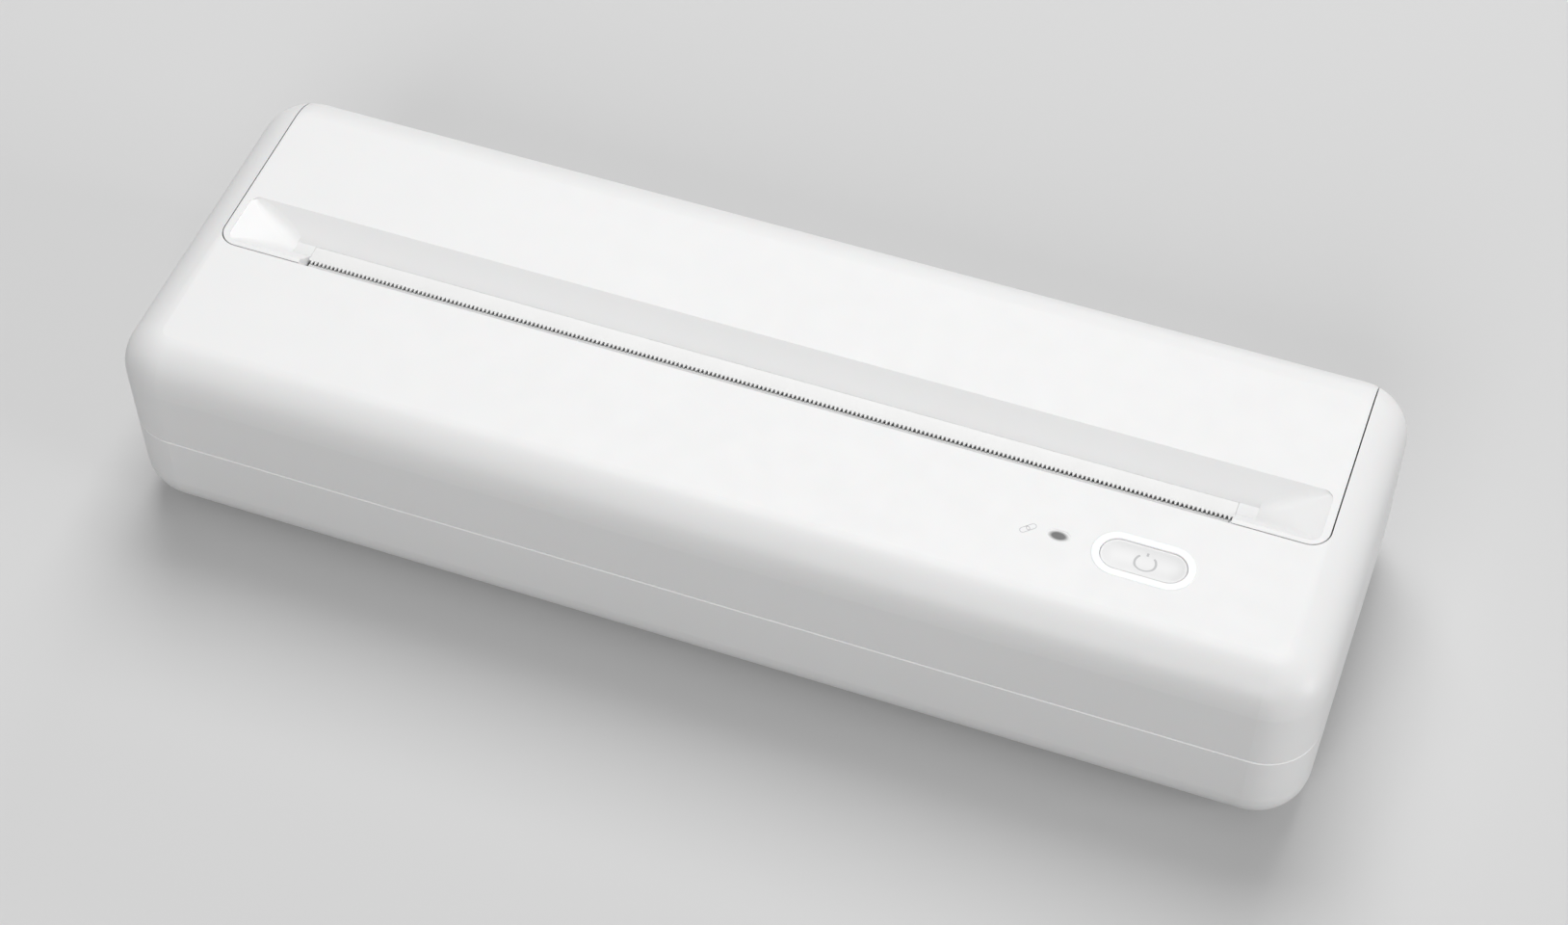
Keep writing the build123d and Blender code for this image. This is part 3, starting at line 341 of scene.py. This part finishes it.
@dataclass(frozen=True)
class BoardFinish:
    """Solder mask with copper tracks showing through it."""

    name: str
    mask: Colour = (0.010, 0.085, 0.035)
    track: Colour = (0.022, 0.16, 0.065)
    pad: Colour = (0.80, 0.66, 0.36)
    track_pitch: float = 0.0021
    pad_pitch: float = 0.0052

    def build(self) -> bpy.types.Material:
        """Build the material.

        Returns:
            The material, with tracks, and small plated pads.
        """
        nodes = NodeBuilder(self.name)
        shader = nodes.principled(Specular_IOR_Level=0.5, Roughness=0.34)
        bricks = nodes.node("ShaderNodeTexBrick", offset=0.37, squash=1.6, squash_frequency=3)
        bricks.inputs["Scale"].default_value = 1.0
        bricks.inputs["Brick Width"].default_value = self.track_pitch * 3.3
        bricks.inputs["Row Height"].default_value = self.track_pitch
        bricks.inputs["Mortar Size"].default_value = self.track_pitch * 0.17
        bricks.inputs["Color1"].default_value = (*self.mask, 1.0)
        bricks.inputs["Color2"].default_value = (*dimmed(self.mask, 1.12), 1.0)
        bricks.inputs["Mortar"].default_value = (*self.track, 1.0)
        nodes.link(nodes.position(), bricks.inputs["Vector"])
        cells = nodes.node("ShaderNodeTexVoronoi", feature="F1")
        cells.inputs["Scale"].default_value = 1.0 / self.pad_pitch
        nodes.link(nodes.position(), cells.inputs["Vector"])
        dots = nodes.node("ShaderNodeMath", operation="LESS_THAN")
        dots.inputs[1].default_value = 0.085
        nodes.link(cells.outputs["Distance"], dots.inputs[0])
        mix = nodes.node("ShaderNodeMix", data_type="RGBA")
        nodes.link(dots.outputs[0], mix.inputs["Factor"])
        nodes.link(bricks.outputs["Color"], mix.inputs["A"])
        mix.inputs["B"].default_value = (*self.pad, 1.0)
        nodes.link(mix.outputs["Result"], shader.inputs["Base Color"])
        nodes.link(nodes.bump(bricks.outputs["Fac"], 0.00003, 0.5), shader.inputs["Normal"])
        return nodes.material


@dataclass(frozen=True)
class WindowFinish:
    """Milky plastic, flush in the casing, with a hollow's shade painted dark at its middle."""

    name: str
    hollow_shade_colour: Colour
    pale: Colour
    centre: Point
    half_length: float
    half_width: float
    rim_share: float = 0.98
    core_share: float = 0.55
    roughness: float = 0.34

    def build(self) -> bpy.types.Material:
        """Build the material.

        Returns:
            The material, whose colour follows an oval round the window's middle, painted darkest at the
            middle as shade.
        """
        nodes = NodeBuilder(self.name)
        shader = nodes.principled(Specular_IOR_Level=0.4)
        coordinates = nodes.node("ShaderNodeTexCoord")
        placed = nodes.node("ShaderNodeVectorMath", operation="SUBTRACT")
        placed.inputs[1].default_value = self.centre
        nodes.link(coordinates.outputs["Object"], placed.inputs[0])
        squeezed = nodes.node("ShaderNodeVectorMath", operation="MULTIPLY")
        squeezed.inputs[1].default_value = (1.0 / self.half_length, 1.0 / self.half_width, 0.0)
        nodes.link(placed.outputs["Vector"], squeezed.inputs[0])
        reach = nodes.node("ShaderNodeVectorMath", operation="LENGTH")
        nodes.link(squeezed.outputs["Vector"], reach.inputs[0])
        # Painted shade: dark at the middle, fading out to the rim, as if the flush window were a hollow.
        colour = nodes.blend(reach.outputs["Value"], self.hollow_shade_colour, self.pale, self.core_share, self.rim_share)
        nodes.link(colour, shader.inputs["Base Color"])
        depth = nodes.noise(0.0012, 2.0)
        nodes.link(nodes.spread(depth, self.roughness, self.roughness + 0.05), shader.inputs["Roughness"])
        return nodes.material


@dataclass(frozen=True)
class LightGuideFinish:
    """Milky light-guide plastic with painted light: it gives off a little light, though no lamp is in it."""

    name: str
    colour: Colour
    painted_glow: float

    def build(self) -> bpy.types.Material:
        """Build the material.

        Returns:
            The material, with faint, even painted light of its own.
        """
        nodes = NodeBuilder(self.name)
        shader = nodes.principled(Specular_IOR_Level=0.4, Subsurface_Weight=0.2)
        shader.inputs["Subsurface Scale"].default_value = 0.001
        clouds = nodes.noise(0.004, 2.0)
        colour = nodes.blend(clouds, dimmed(self.colour, 0.99), self.colour)
        nodes.link(colour, shader.inputs["Base Color"])
        # Painted light: the ring shines by its own emission, though it is no lamp.
        nodes.link(colour, shader.inputs["Emission Color"])
        shader.inputs["Emission Strength"].default_value = self.painted_glow
        nodes.link(nodes.spread(clouds, 0.38, 0.44), shader.inputs["Roughness"])
        return nodes.material


Finish = MouldedFinish | MetalFinish | RubberFinish | BoardFinish | WindowFinish | LightGuideFinish

SHELL_COLOUR = (0.815, 0.815, 0.815)
SHELL_EDGE = 0.1 * MM
WINDOW_CENTRE = (76.4 * MM, -22.6 * MM, 0.0)
# Heights of the painted highlight band along the lower casing's parting edge.
PARTING_PAINTED_HIGHLIGHT = (26.88 * MM, 27.4 * MM)


class Finishes(Enum):
    """The printer's finishes, one member each."""

    SHELL_WHITE = MouldedFinish("shell_white", SHELL_COLOUR, subsurface=0.05, edge_radius=SHELL_EDGE)
    # The lower casing's white, with its painted highlight band at the parting edge.
    BASE_WHITE = MouldedFinish(
        "base_white", SHELL_COLOUR, subsurface=0.05, edge_radius=SHELL_EDGE, band=PARTING_PAINTED_HIGHLIGHT
    )
    # Casing white painted down to light grey as the shade in the paper slot.
    GUIDE_PAINTED_SHADE = MouldedFinish("guide_painted_shade", (0.66, 0.66, 0.66), roughness=0.5)
    INNER_WHITE = MouldedFinish("inner_white", (0.74, 0.74, 0.73), roughness=0.55)
    BAR_WHITE = MouldedFinish("bar_white", (0.80, 0.80, 0.795), roughness=0.36)
    BUTTON_WHITE = MouldedFinish("button_satin", (0.80, 0.80, 0.80), roughness=0.4, cloud=0.006)
    RING_MILK_PAINTED_GLOW = LightGuideFinish("ring_milk_painted_glow", (0.84, 0.84, 0.84), 0.1)
    MARK_GREY = MouldedFinish("mark_grey", (0.54, 0.54, 0.55), roughness=0.5, cloud=0.05)
    MARK_PALE = MouldedFinish("mark_pale", (0.56, 0.56, 0.57), roughness=0.5, cloud=0.05)
    # The indicator window, with painted shade at its middle.
    WINDOW_PAINTED_SHADE = WindowFinish(
        "window_painted_shade", (0.09, 0.09, 0.09), SHELL_COLOUR, WINDOW_CENTRE, 2.55 * MM, 1.5 * MM
    )
    # Near-black painted shade for hollows.
    RECESS_PAINTED_SHADE = MouldedFinish("recess_painted_shade", (0.03, 0.03, 0.032), roughness=0.6, cloud=0.1)
    CONTACT_GOLD = MetalFinish("contact_gold", (0.80, 0.62, 0.28), roughness=0.22, stretch=(1.0, 1.0, 1.0))
    GLAZE_GREY = MouldedFinish("glaze_grey", (0.30, 0.30, 0.29), roughness=0.14, specular=0.6, cloud=0.05)
    HEATER_DARK = MouldedFinish("heater_dark", (0.09, 0.085, 0.08), roughness=0.3, specular=0.5, cloud=0.08)
    ROLLER_BLACK = RubberFinish("roller_black", (0.018, 0.018, 0.019))
    FEET_GREY = RubberFinish("feet_grey", (0.10, 0.10, 0.105))
    STEEL_GROUND = MetalFinish("steel_ground", (0.62, 0.62, 0.63), roughness=0.24)
    ZINC_SHEET = MetalFinish(
        "zinc_sheet", (0.62, 0.63, 0.66), roughness=0.38, stretch=(1.0, 0.2, 1.0), grain_size=0.0006
    )
    ALUMINIUM = MetalFinish("aluminium_extruded", (0.74, 0.75, 0.76), roughness=0.36)
    CERAMIC = MouldedFinish("ceramic_glazed", (0.74, 0.71, 0.63), roughness=0.25, specular=0.55, cloud=0.04)
    GEAR_IVORY = MouldedFinish("gear_ivory", (0.77, 0.75, 0.68), roughness=0.45, cloud=0.03)
    BUSH_BLACK = MouldedFinish("bush_black", (0.025, 0.025, 0.026), roughness=0.45, cloud=0.1)
    BRASS = MetalFinish("brass_cut", (0.72, 0.52, 0.22), roughness=0.3, stretch=(1.0, 1.0, 1.0))
    CELL_SLEEVE = MouldedFinish("cell_sleeve", (0.02, 0.09, 0.30), roughness=0.24, specular=0.5, cloud=0.08)
    HOLDER_BLACK = MouldedFinish("holder_moulded", (0.022, 0.022, 0.023), roughness=0.55, cloud=0.1)
    BOARD_GREEN = BoardFinish("board_mask")
    EPOXY_BLACK = MouldedFinish("epoxy_black", (0.02, 0.02, 0.022), roughness=0.5, cloud=0.12)
    CONNECTOR_CREAM = MouldedFinish("connector_nylon", (0.70, 0.65, 0.50), roughness=0.45, cloud=0.03)
    RIBBON_WHITE = MouldedFinish("ribbon_white", (0.62, 0.65, 0.70), roughness=0.3, cloud=0.03)
    LED_YELLOW = MouldedFinish(
        "led_phosphor", (0.72, 0.60, 0.16), roughness=0.2, specular=0.5, subsurface=0.3
    )

    @cache
    def material(self) -> bpy.types.Material:
        """The finish's material, built the first time that it is asked for."""
        return self.value.build()


NODE_FINISHES = {
    "lower_casing": Finishes.BASE_WHITE,
    "upper_casing": Finishes.SHELL_WHITE,
    "top_cover": Finishes.SHELL_WHITE,
    "tear_bar": Finishes.BAR_WHITE,
    "platen_holder": Finishes.INNER_WHITE,
    "platen_bushes": Finishes.BUSH_BLACK,
    "platen_roller": Finishes.ROLLER_BLACK,
    "platen_shaft": Finishes.STEEL_GROUND,
    "platen_gear": Finishes.GEAR_IVORY,
    "idler_gear": Finishes.GEAR_IVORY,
    "compound_gear": Finishes.GEAR_IVORY,
    "motor_pinion": Finishes.BRASS,
    "motor_shaft": Finishes.STEEL_GROUND,
    "motor_can": Finishes.ZINC_SHEET,
    "gear_posts": Finishes.STEEL_GROUND,
    "hinge_pins": Finishes.STEEL_GROUND,
    "heat_sink": Finishes.ALUMINIUM,
    "print_head": Finishes.CERAMIC,
    "head_pivot_pins": Finishes.STEEL_GROUND,
    "head_springs": Finishes.STEEL_GROUND,
    "head_cable": Finishes.RIBBON_WHITE,
    "cable_connector": Finishes.CONNECTOR_CREAM,
    "left_side_frame": Finishes.ZINC_SHEET,
    "right_side_frame": Finishes.ZINC_SHEET,
    "cross_beam": Finishes.ZINC_SHEET,
    "paper_cradle": Finishes.INNER_WHITE,
    "paper_sensor": Finishes.EPOXY_BLACK,
    "battery_cells": Finishes.CELL_SLEEVE,
    "battery_holder": Finishes.HOLDER_BLACK,
    "main_board": Finishes.BOARD_GREEN,
    "board_parts": Finishes.EPOXY_BLACK,
    "board_screws": Finishes.STEEL_GROUND,
    "usb_port": Finishes.STEEL_GROUND,
    "button_ring": Finishes.RING_MILK_PAINTED_GLOW,
    "power_button": Finishes.BUTTON_WHITE,
    "switch_board": Finishes.BOARD_GREEN,
    "tactile_switch": Finishes.EPOXY_BLACK,
    "status_led": Finishes.LED_YELLOW,
    "light_pipe": Finishes.WINDOW_PAINTED_SHADE,
    "rubber_feet": Finishes.FEET_GREY,
    "casing_screws": Finishes.STEEL_GROUND,
}


# ---------------------------------------------------------------- mesh helpers


def mesh_piece(name: str, mesh: bmesh.types.BMesh, finish: Finishes, smooth: bool = True) -> bpy.types.Object:
    """Turn a bmesh in metres into a shown object.

    Args:
        name: The piece's name.
        mesh: The finished bmesh, which is freed.
        finish: The finish of the whole piece.
        smooth: Whether its faces are shaded smooth.

    Returns:
        The new object, linked to the scene.
    """
    bmesh.ops.recalc_face_normals(mesh, faces=mesh.faces)
    for face in mesh.faces:
        face.smooth = smooth
    data = bpy.data.meshes.new(name)
    mesh.to_mesh(data)
    mesh.free()
    data.materials.append(finish.material())
    made = bpy.data.objects.new(name, data)
    bpy.context.scene.collection.objects.link(made)
    return made


def ribbon_on(
    mesh: bmesh.types.BMesh, path: list[Point], width: float, height: float, closed: bool = False
) -> None:
    """Add a raised line of rectangular section along a path that lies about flat.

    Args:
        mesh: The bmesh that takes it.
        path: Points along the middle of the line, at the surface.
        width: Width of the line.
        height: How far it stands above its points; it goes as far below them.
        closed: Whether the last point joins the first.
    """
    rings = []
    count = len(path)
    for index, point in enumerate(path):
        before = Vector(path[index - 1]) if closed or index else Vector(point)
        after = Vector(path[(index + 1) % count]) if closed or index < count - 1 else Vector(point)
        along = (after - before).normalized()
        across = Vector((-along.y, along.x, 0.0)).normalized() * width / 2
        lift = Vector((0.0, 0.0, height))
        middle = Vector(point)
        low, high = middle - lift, middle + lift
        corners = (low - across, low + across, high + across, high - across)
        rings.append([mesh.verts.new(corner) for corner in corners])
    pairs = count if closed else count - 1
    for index in range(pairs):
        first, second = rings[index], rings[(index + 1) % count]
        for side in range(4):
            mesh.faces.new((first[side], first[(side + 1) % 4], second[(side + 1) % 4], second[side]))
    if not closed:
        mesh.faces.new(reversed(rings[0]))
        mesh.faces.new(rings[-1])


def attach(piece: bpy.types.Object, body: str) -> None:
    """Ride a piece on a body and log it.

    Args:
        piece: The finished piece.
        body: The CAD body that carries it.
    """
    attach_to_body(piece, body)
    log.info("%s rides on %s", piece.name, body)


# ---------------------------------------------------------------- sub-assemblies


@dataclass
class CadNodes:
    """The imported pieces, which keep their shapes and get their finishes."""

    finishes: dict[str, Finishes] = field(default_factory=lambda: dict(NODE_FINISHES))

    def dress(self) -> None:
        """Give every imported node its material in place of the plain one."""
        for name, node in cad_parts.items():
            node.data.materials.clear()
            node.data.materials.append(self.finishes[name].material())
            log.info("%s dressed as %s", name, self.finishes[name].value.name)


@dataclass
class PowerSymbol:
    """The power sign on the button: a ring open at the back, with a short bar in the opening."""

    centre_x: float = 95.7 * MM
    centre_y: float = -22.9 * MM
    radius: float = 2.3 * MM
    line: float = 0.5 * MM
    proud: float = 0.02 * MM
    opening: float = 44.0
    bar_middle: float = 2.2 * MM
    bar_length: float = 0.7 * MM
    dish_depth: float = 0.6 * MM
    dish_half_width: float = 3.5 * MM
    steps: int = 44

    def surface_z(self, y: float) -> float:
        """Height of the button's dished face.

        Args:
            y: Distance from the button's middle line, in metres.

        Returns:
            The height in metres.
        """
        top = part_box("power_button")[1].z
        radius = self.dish_half_width**2 / (2 * self.dish_depth) + self.dish_depth / 2
        return top - self.dish_depth + radius - math.sqrt(radius**2 - y**2)

    def on_face(self, x: float, y: float) -> Point:
        """A point on the dished face.

        Args:
            x: Place along the button, from the sign's centre.
            y: Place across the button, from the sign's centre.

        Returns:
            The point in the shared frame.
        """
        low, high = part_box("power_button")
        middle = (low.y + high.y) / 2
        return (self.centre_x + x, self.centre_y + y, self.surface_z(self.centre_y + y - middle))

    def build(self) -> None:
        """Build the sign and fix it to the button."""
        mesh = bmesh.new()
        start = math.radians(90.0 + self.opening)
        sweep = math.radians(360.0 - 2 * self.opening)
        angles = [start + sweep * step / self.steps for step in range(self.steps + 1)]
        arc = [self.on_face(self.radius * math.cos(a), self.radius * math.sin(a)) for a in angles]
        ribbon_on(mesh, arc, self.line, self.proud)
        top = self.bar_middle + self.bar_length / 2
        bar = [self.on_face(0.0, top - self.bar_length * share / 6) for share in range(7)]
        ribbon_on(mesh, bar, self.line, self.proud)
        attach(mesh_piece("power_sign", mesh, Finishes.MARK_GREY, smooth=False), "button")


@dataclass
class LinkSign:
    """The small linked-rings sign beside the indicator window."""

    centre_x: float = 69.7 * MM
    centre_y: float = -22.8 * MM
    ring_length: float = 2.25 * MM
    ring_width: float = 1.3 * MM
    line: float = 0.17 * MM
    proud: float = 0.015 * MM
    tilt: float = 42.0
    offset: float = 0.78 * MM
    steps: int = 10

    def ring(self, shift: float) -> list[Point]:
        """One rounded ring of the pair.

        Args:
            shift: Place of its centre along the tilted axis.

        Returns:
            The ring's points on the casing's top.
        """
        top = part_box("upper_casing")[1].z
        straight = (self.ring_length - self.ring_width) / 2
        turn = math.radians(self.tilt)
        points = []
        for side in (1, -1):
            for step in range(self.steps + 1):
                angle = side * (math.pi * step / self.steps - math.pi / 2)
                x = side * straight + self.ring_width / 2 * math.cos(angle) * side + shift
                y = self.ring_width / 2 * math.sin(angle)
                placed_x = x * math.cos(turn) - y * math.sin(turn)
                placed_y = x * math.sin(turn) + y * math.cos(turn)
                points.append((self.centre_x + placed_x, self.centre_y + placed_y, top))
        return points

    def build(self) -> None:
        """Build both rings and fix them to the upper casing."""
        mesh = bmesh.new()
        for shift in (-self.offset, self.offset):
            ribbon_on(mesh, self.ring(shift), self.line, self.proud, closed=True)
        attach(mesh_piece("link_sign", mesh, Finishes.MARK_PALE, smooth=False), "casing")


def prism(
    mesh: bmesh.types.BMesh, ends: tuple[float, float], outline: tuple[tuple[float, float], ...]
) -> None:
    """Add a bar along X of a given section.

    Args:
        mesh: The bmesh that takes it.
        ends: Lowest and highest X.
        outline: The section's corners in Y and Z, in order.
    """
    first, last = ([mesh.verts.new((x, y, z)) for y, z in outline] for x in ends)
    count = len(outline)
    for index in range(count):
        after = (index + 1) % count
        mesh.faces.new((first[index], first[after], last[after], last[index]))
    mesh.faces.new(reversed(first))
    mesh.faces.new(last)


def block(mesh: bmesh.types.BMesh, low: Point, high: Point) -> None:
    """Add a box between two corners.

    Args:
        mesh: The bmesh that takes it.
        low: The lowest corner.
        high: The highest corner.
    """
    made = bmesh.ops.create_cube(mesh, size=1.0)["verts"]
    for vert in made:
        for axis in range(3):
            vert.co[axis] = high[axis] if vert.co[axis] > 0 else low[axis]


@dataclass
class SlotGuide:
    """The strip that lines the paper slot's lip, just before the tear teeth, painted light grey as shade."""

    end_gap: float = 0.9 * MM
    paper_gap: float = 0.25 * MM
    foot_gap: float = 0.5 * MM
    tip_gap: float = 0.2 * MM
    ramp_rise: float = 0.88 * MM
    rear_height: float = 0.52 * MM
    sunk: float = 0.02 * MM

    def build(self) -> None:
        """Build the strip and fix it to the casing."""
        low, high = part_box("tear_bar")
        lip_z = low.z - self.paper_gap
        foot_y, rear_y = low.y - self.foot_gap, low.y - self.tip_gap
        section = (
            (foot_y, lip_z - self.sunk),
            (rear_y, lip_z - self.sunk),
            (rear_y, lip_z + self.rear_height),
            (foot_y - self.ramp_rise, lip_z + self.ramp_rise),
        )
        mesh = bmesh.new()
        prism(mesh, (low.x + self.end_gap, high.x - self.end_gap), section)
        # Painted shade: the lip is casing plastic, coloured grey for its shade in the slot.
        attach(mesh_piece("slot_guide", mesh, Finishes.GUIDE_PAINTED_SHADE, smooth=False), "casing")


@dataclass
class ScrewRecessShade:
    """Crosses of painted shade on the heads of the four casing screws, where their cross recesses are, seen
    from below.
    """

    head_radius: float = 2.4 * MM
    arm: float = 1.35 * MM
    line: float = 0.42 * MM
    proud: float = 0.02 * MM

    def build(self) -> None:
        """Build one cross of painted shade for each screw and fix them to the casing."""
        low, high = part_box("casing_screws")
        mesh = bmesh.new()
        for x in (low.x + self.head_radius, high.x - self.head_radius):
            for y in (low.y + self.head_radius, high.y - self.head_radius):
                for reach_x, reach_y in ((self.arm, self.line / 2), (self.line / 2, self.arm)):
                    bottom = (x - reach_x, y - reach_y, low.z - self.proud)
                    top = (x + reach_x, y + reach_y, low.z + self.proud)
                    # Each arm is a flat near-black block: painted shade standing in for the recess's hollow.
                    block(mesh, bottom, top)
        attach(mesh_piece("screw_recess_painted_shade", mesh, Finishes.RECESS_PAINTED_SHADE, smooth=False), "casing")


@dataclass
class HeadFace:
    """What the cover's roller presses on: the glazed heater bead, its line and the driver cover."""

    glaze_height: float = 2.6 * MM
    line_height: float = 0.16 * MM
    glaze_proud: float = 0.03 * MM
    line_proud: float = 0.036 * MM
    end_margin: float = 1.5 * MM
    cover_skin: float = 0.03 * MM
    cover_inset: float = 5.7 * MM
    cover_rise: float = 0.5 * MM
    cover_height: float = 2.5 * MM
    ceramic_thickness: float = 0.8 * MM

    def build(self) -> None:
        """Build the three layers and fix them to the print head."""
        low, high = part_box("print_head")
        nip_z = sum(corner.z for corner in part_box("platen_roller")) / 2
        face_y = low.y + self.ceramic_thickness
        glaze = bmesh.new()
        self.layer(glaze, (low.x, high.x), face_y, nip_z, self.glaze_height, self.glaze_proud)
        attach(mesh_piece("heater_glaze", glaze, Finishes.GLAZE_GREY, smooth=False), "head")
        line = bmesh.new()
        self.layer(line, (low.x, high.x), face_y, nip_z, self.line_height, self.line_proud)
        attach(mesh_piece("heater_line", line, Finishes.HEATER_DARK, smooth=False), "head")
        cover = bmesh.new()
        inset = self.cover_inset - self.cover_skin
        foot_z = low.z + self.cover_rise
        bottom = (low.x + inset, face_y, foot_z - self.cover_skin)
        top = (high.x - inset, high.y + self.cover_skin, foot_z + self.cover_height + self.cover_skin)
        block(cover, bottom, top)
        attach(mesh_piece("driver_cover", cover, Finishes.EPOXY_BLACK, smooth=False), "head")

    def layer(
        self,
        mesh: bmesh.types.BMesh,
        ends: tuple[float, float],
        face_y: float,
        middle_z: float,
        height: float,
        proud: float,
    ) -> None:
        """Add one flat layer with bevelled long edges on the ceramic's face.

        Args:
            mesh: The bmesh that takes it.
            ends: Lowest and highest X of the ceramic.
            face_y: Y of the ceramic's face.
            middle_z: Height of the layer's middle.
            height: The layer's height.
            proud: How far it stands off the face.
        """
        first_x, last_x = ends[0] + self.end_margin, ends[1] - self.end_margin
        outline = (
            (face_y - proud, middle_z - height / 2),
            (face_y, middle_z - height / 2),
            (face_y + proud, middle_z - height / 2 + 4 * proud),
            (face_y + proud, middle_z + height / 2 - 4 * proud),
            (face_y, middle_z + height / 2),
            (face_y - proud, middle_z + height / 2),
        )
        prism(mesh, (first_x, last_x), outline)


@dataclass
class PortContacts:
    """Plated contacts on both sides of the charging port's blade."""

    count: int = 7
    pitch: float = 0.8 * MM
    line: float = 0.34 * MM
    length: float = 3.2 * MM
    from_mouth: float = 1.75 * MM
    blade_half: float = 0.35 * MM
    proud: float = 0.02 * MM

    def build(self) -> None:
        """Build the contacts and fix them to the casing."""
        low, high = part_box("usb_port")
        middle_y, middle_z = (low.y + high.y) / 2, (low.z + high.z) / 2
        mesh = bmesh.new()
        first_x = low.x + self.from_mouth
        for index in range(self.count):
            y = middle_y + (index - (self.count - 1) / 2) * self.pitch
            for side in (-1, 1):
                face_z = middle_z + side * self.blade_half
                bottom = (first_x, y - self.line / 2, face_z - self.proud)
                top = (first_x + self.length, y + self.line / 2, face_z + self.proud)
                block(mesh, bottom, top)
        attach(mesh_piece("port_contacts", mesh, Finishes.CONTACT_GOLD, smooth=False), "casing")


@dataclass
class Studio:
    """Floor, lamps and the photograph's camera."""

    azimuth: float = 20.331
    elevation: float = 51.459
    roll: float = -0.343
    camera_place: Point = (161.503 * MM, -420.242 * MM, 583.797 * MM)
    focal_pixels: float = 3245.932
    sensor_width: float = 36.0
    floor_half: float = 6.0
    floor_shown: float = 0.66
    floor_bounce: float = 0.28
    lamp_target: Point = (0.0, 0.0, 0.02)

    def floor(self) -> None:
        """Lay the pale floor, which bounces less light than it shows."""
        mesh = bmesh.new()
        bmesh.ops.create_grid(mesh, x_segments=1, y_segments=1, size=self.floor_half)
        data = bpy.data.meshes.new("floor")
        mesh.to_mesh(data)
        mesh.free()
        nodes = NodeBuilder("studio_floor")
        shader = nodes.principled(Roughness=0.8, Specular_IOR_Level=0.2)
        path = nodes.node("ShaderNodeLightPath")
        shown = nodes.node("ShaderNodeMath", operation="MAXIMUM")
        nodes.link(path.outputs["Is Camera Ray"], shown.inputs[0])
        nodes.link(path.outputs["Is Glossy Ray"], shown.inputs[1])
        mix = nodes.node("ShaderNodeMix", data_type="RGBA")
        nodes.link(shown.outputs[0], mix.inputs["Factor"])
        mix.inputs["A"].default_value = (self.floor_bounce,) * 3 + (1.0,)
        mix.inputs["B"].default_value = (self.floor_shown,) * 3 + (1.0,)
        nodes.link(mix.outputs["Result"], shader.inputs["Base Color"])
        data.materials.append(nodes.material)
        floor = bpy.data.objects.new("floor", data)
        floor.location.z = -0.0001
        bpy.context.scene.collection.objects.link(floor)

    def lamp(self, name: str, place: Point, size: float, watts: float) -> None:
        """Hang a square soft lamp that looks at the printer's middle.

        Args:
            name: The lamp's name.
            place: Where it hangs.
            size: Side of its square.
            watts: Its power.
        """
        data = bpy.data.lights.new(name, "AREA")
        data.size = size
        data.energy = watts
        made = bpy.data.objects.new(name, data)
        made.location = place
        facing = Vector(self.lamp_target) - Vector(place)
        made.rotation_mode = "QUATERNION"
        made.rotation_quaternion = facing.to_track_quat("-Z", "Y")
        bpy.context.scene.collection.objects.link(made)

    def lamps(self) -> None:
        """Hang the lamps and set the even light of the room."""
        self.lamp("key_lamp", (-0.2, 0.85, 1.55), 1.1, 20.5)
        self.lamp("front_lamp", (0.1, -1.5, 0.9), 0.9, 11.5)
        self.lamp("side_lamp", (3.2, -0.2, 0.75), 1.4, 38.0)
        self.lamp("back_lamp", (0.0, 2.5, 0.8), 1.0, 9.0)
        world = bpy.data.worlds.new("room")
        world.use_nodes = True
        background = world.node_tree.nodes["Background"]
        background.inputs["Color"].default_value = (0.95, 0.95, 0.95, 1.0)
        background.inputs["Strength"].default_value = 0.24
        bpy.context.scene.world = world

    def camera(self) -> None:
        """Set the camera where the photograph was taken from."""
        azimuth, elevation = math.radians(self.azimuth), math.radians(self.elevation)
        back = Vector(
            (
                math.sin(azimuth) * math.cos(elevation),
                -math.cos(azimuth) * math.cos(elevation),
                math.sin(elevation),
            )
        )
        right = Vector((math.cos(azimuth), math.sin(azimuth), 0.0))
        up = back.cross(right)
        turn = math.radians(self.roll)
        rolled_right = right * math.cos(turn) + up * math.sin(turn)
        rolled_up = up * math.cos(turn) - right * math.sin(turn)
        data = bpy.data.cameras.new("photo_camera")
        data.sensor_width = self.sensor_width
        data.lens = self.focal_pixels * self.sensor_width / PHOTO_WIDTH
        data.clip_start = 0.01
        data.clip_end = 50.0
        made = bpy.data.objects.new("photo_camera", data)
        axes = Matrix((rolled_right, rolled_up, back)).transposed().to_4x4()
        made.matrix_world = Matrix.Translation(self.camera_place) @ axes
        bpy.context.scene.collection.objects.link(made)
        bpy.context.scene.camera = made

    def build(self) -> None:
        """Build the whole studio."""
        self.floor()
        self.lamps()
        self.camera()
        bpy.context.scene.view_settings.view_transform = "Standard"


def main() -> None:
    """Build the studio and every sub-assembly."""
    logging.basicConfig(level=logging.INFO, format="%(name)s: %(message)s", stream=sys.stdout)
    Studio().build()
    CadNodes().dress()
    PowerSymbol().build()
    LinkSign().build()
    SlotGuide().build()
    ScrewRecessShade().build()
    HeadFace().build()
    PortContacts().build()


if __name__ == "__main__":
    main()
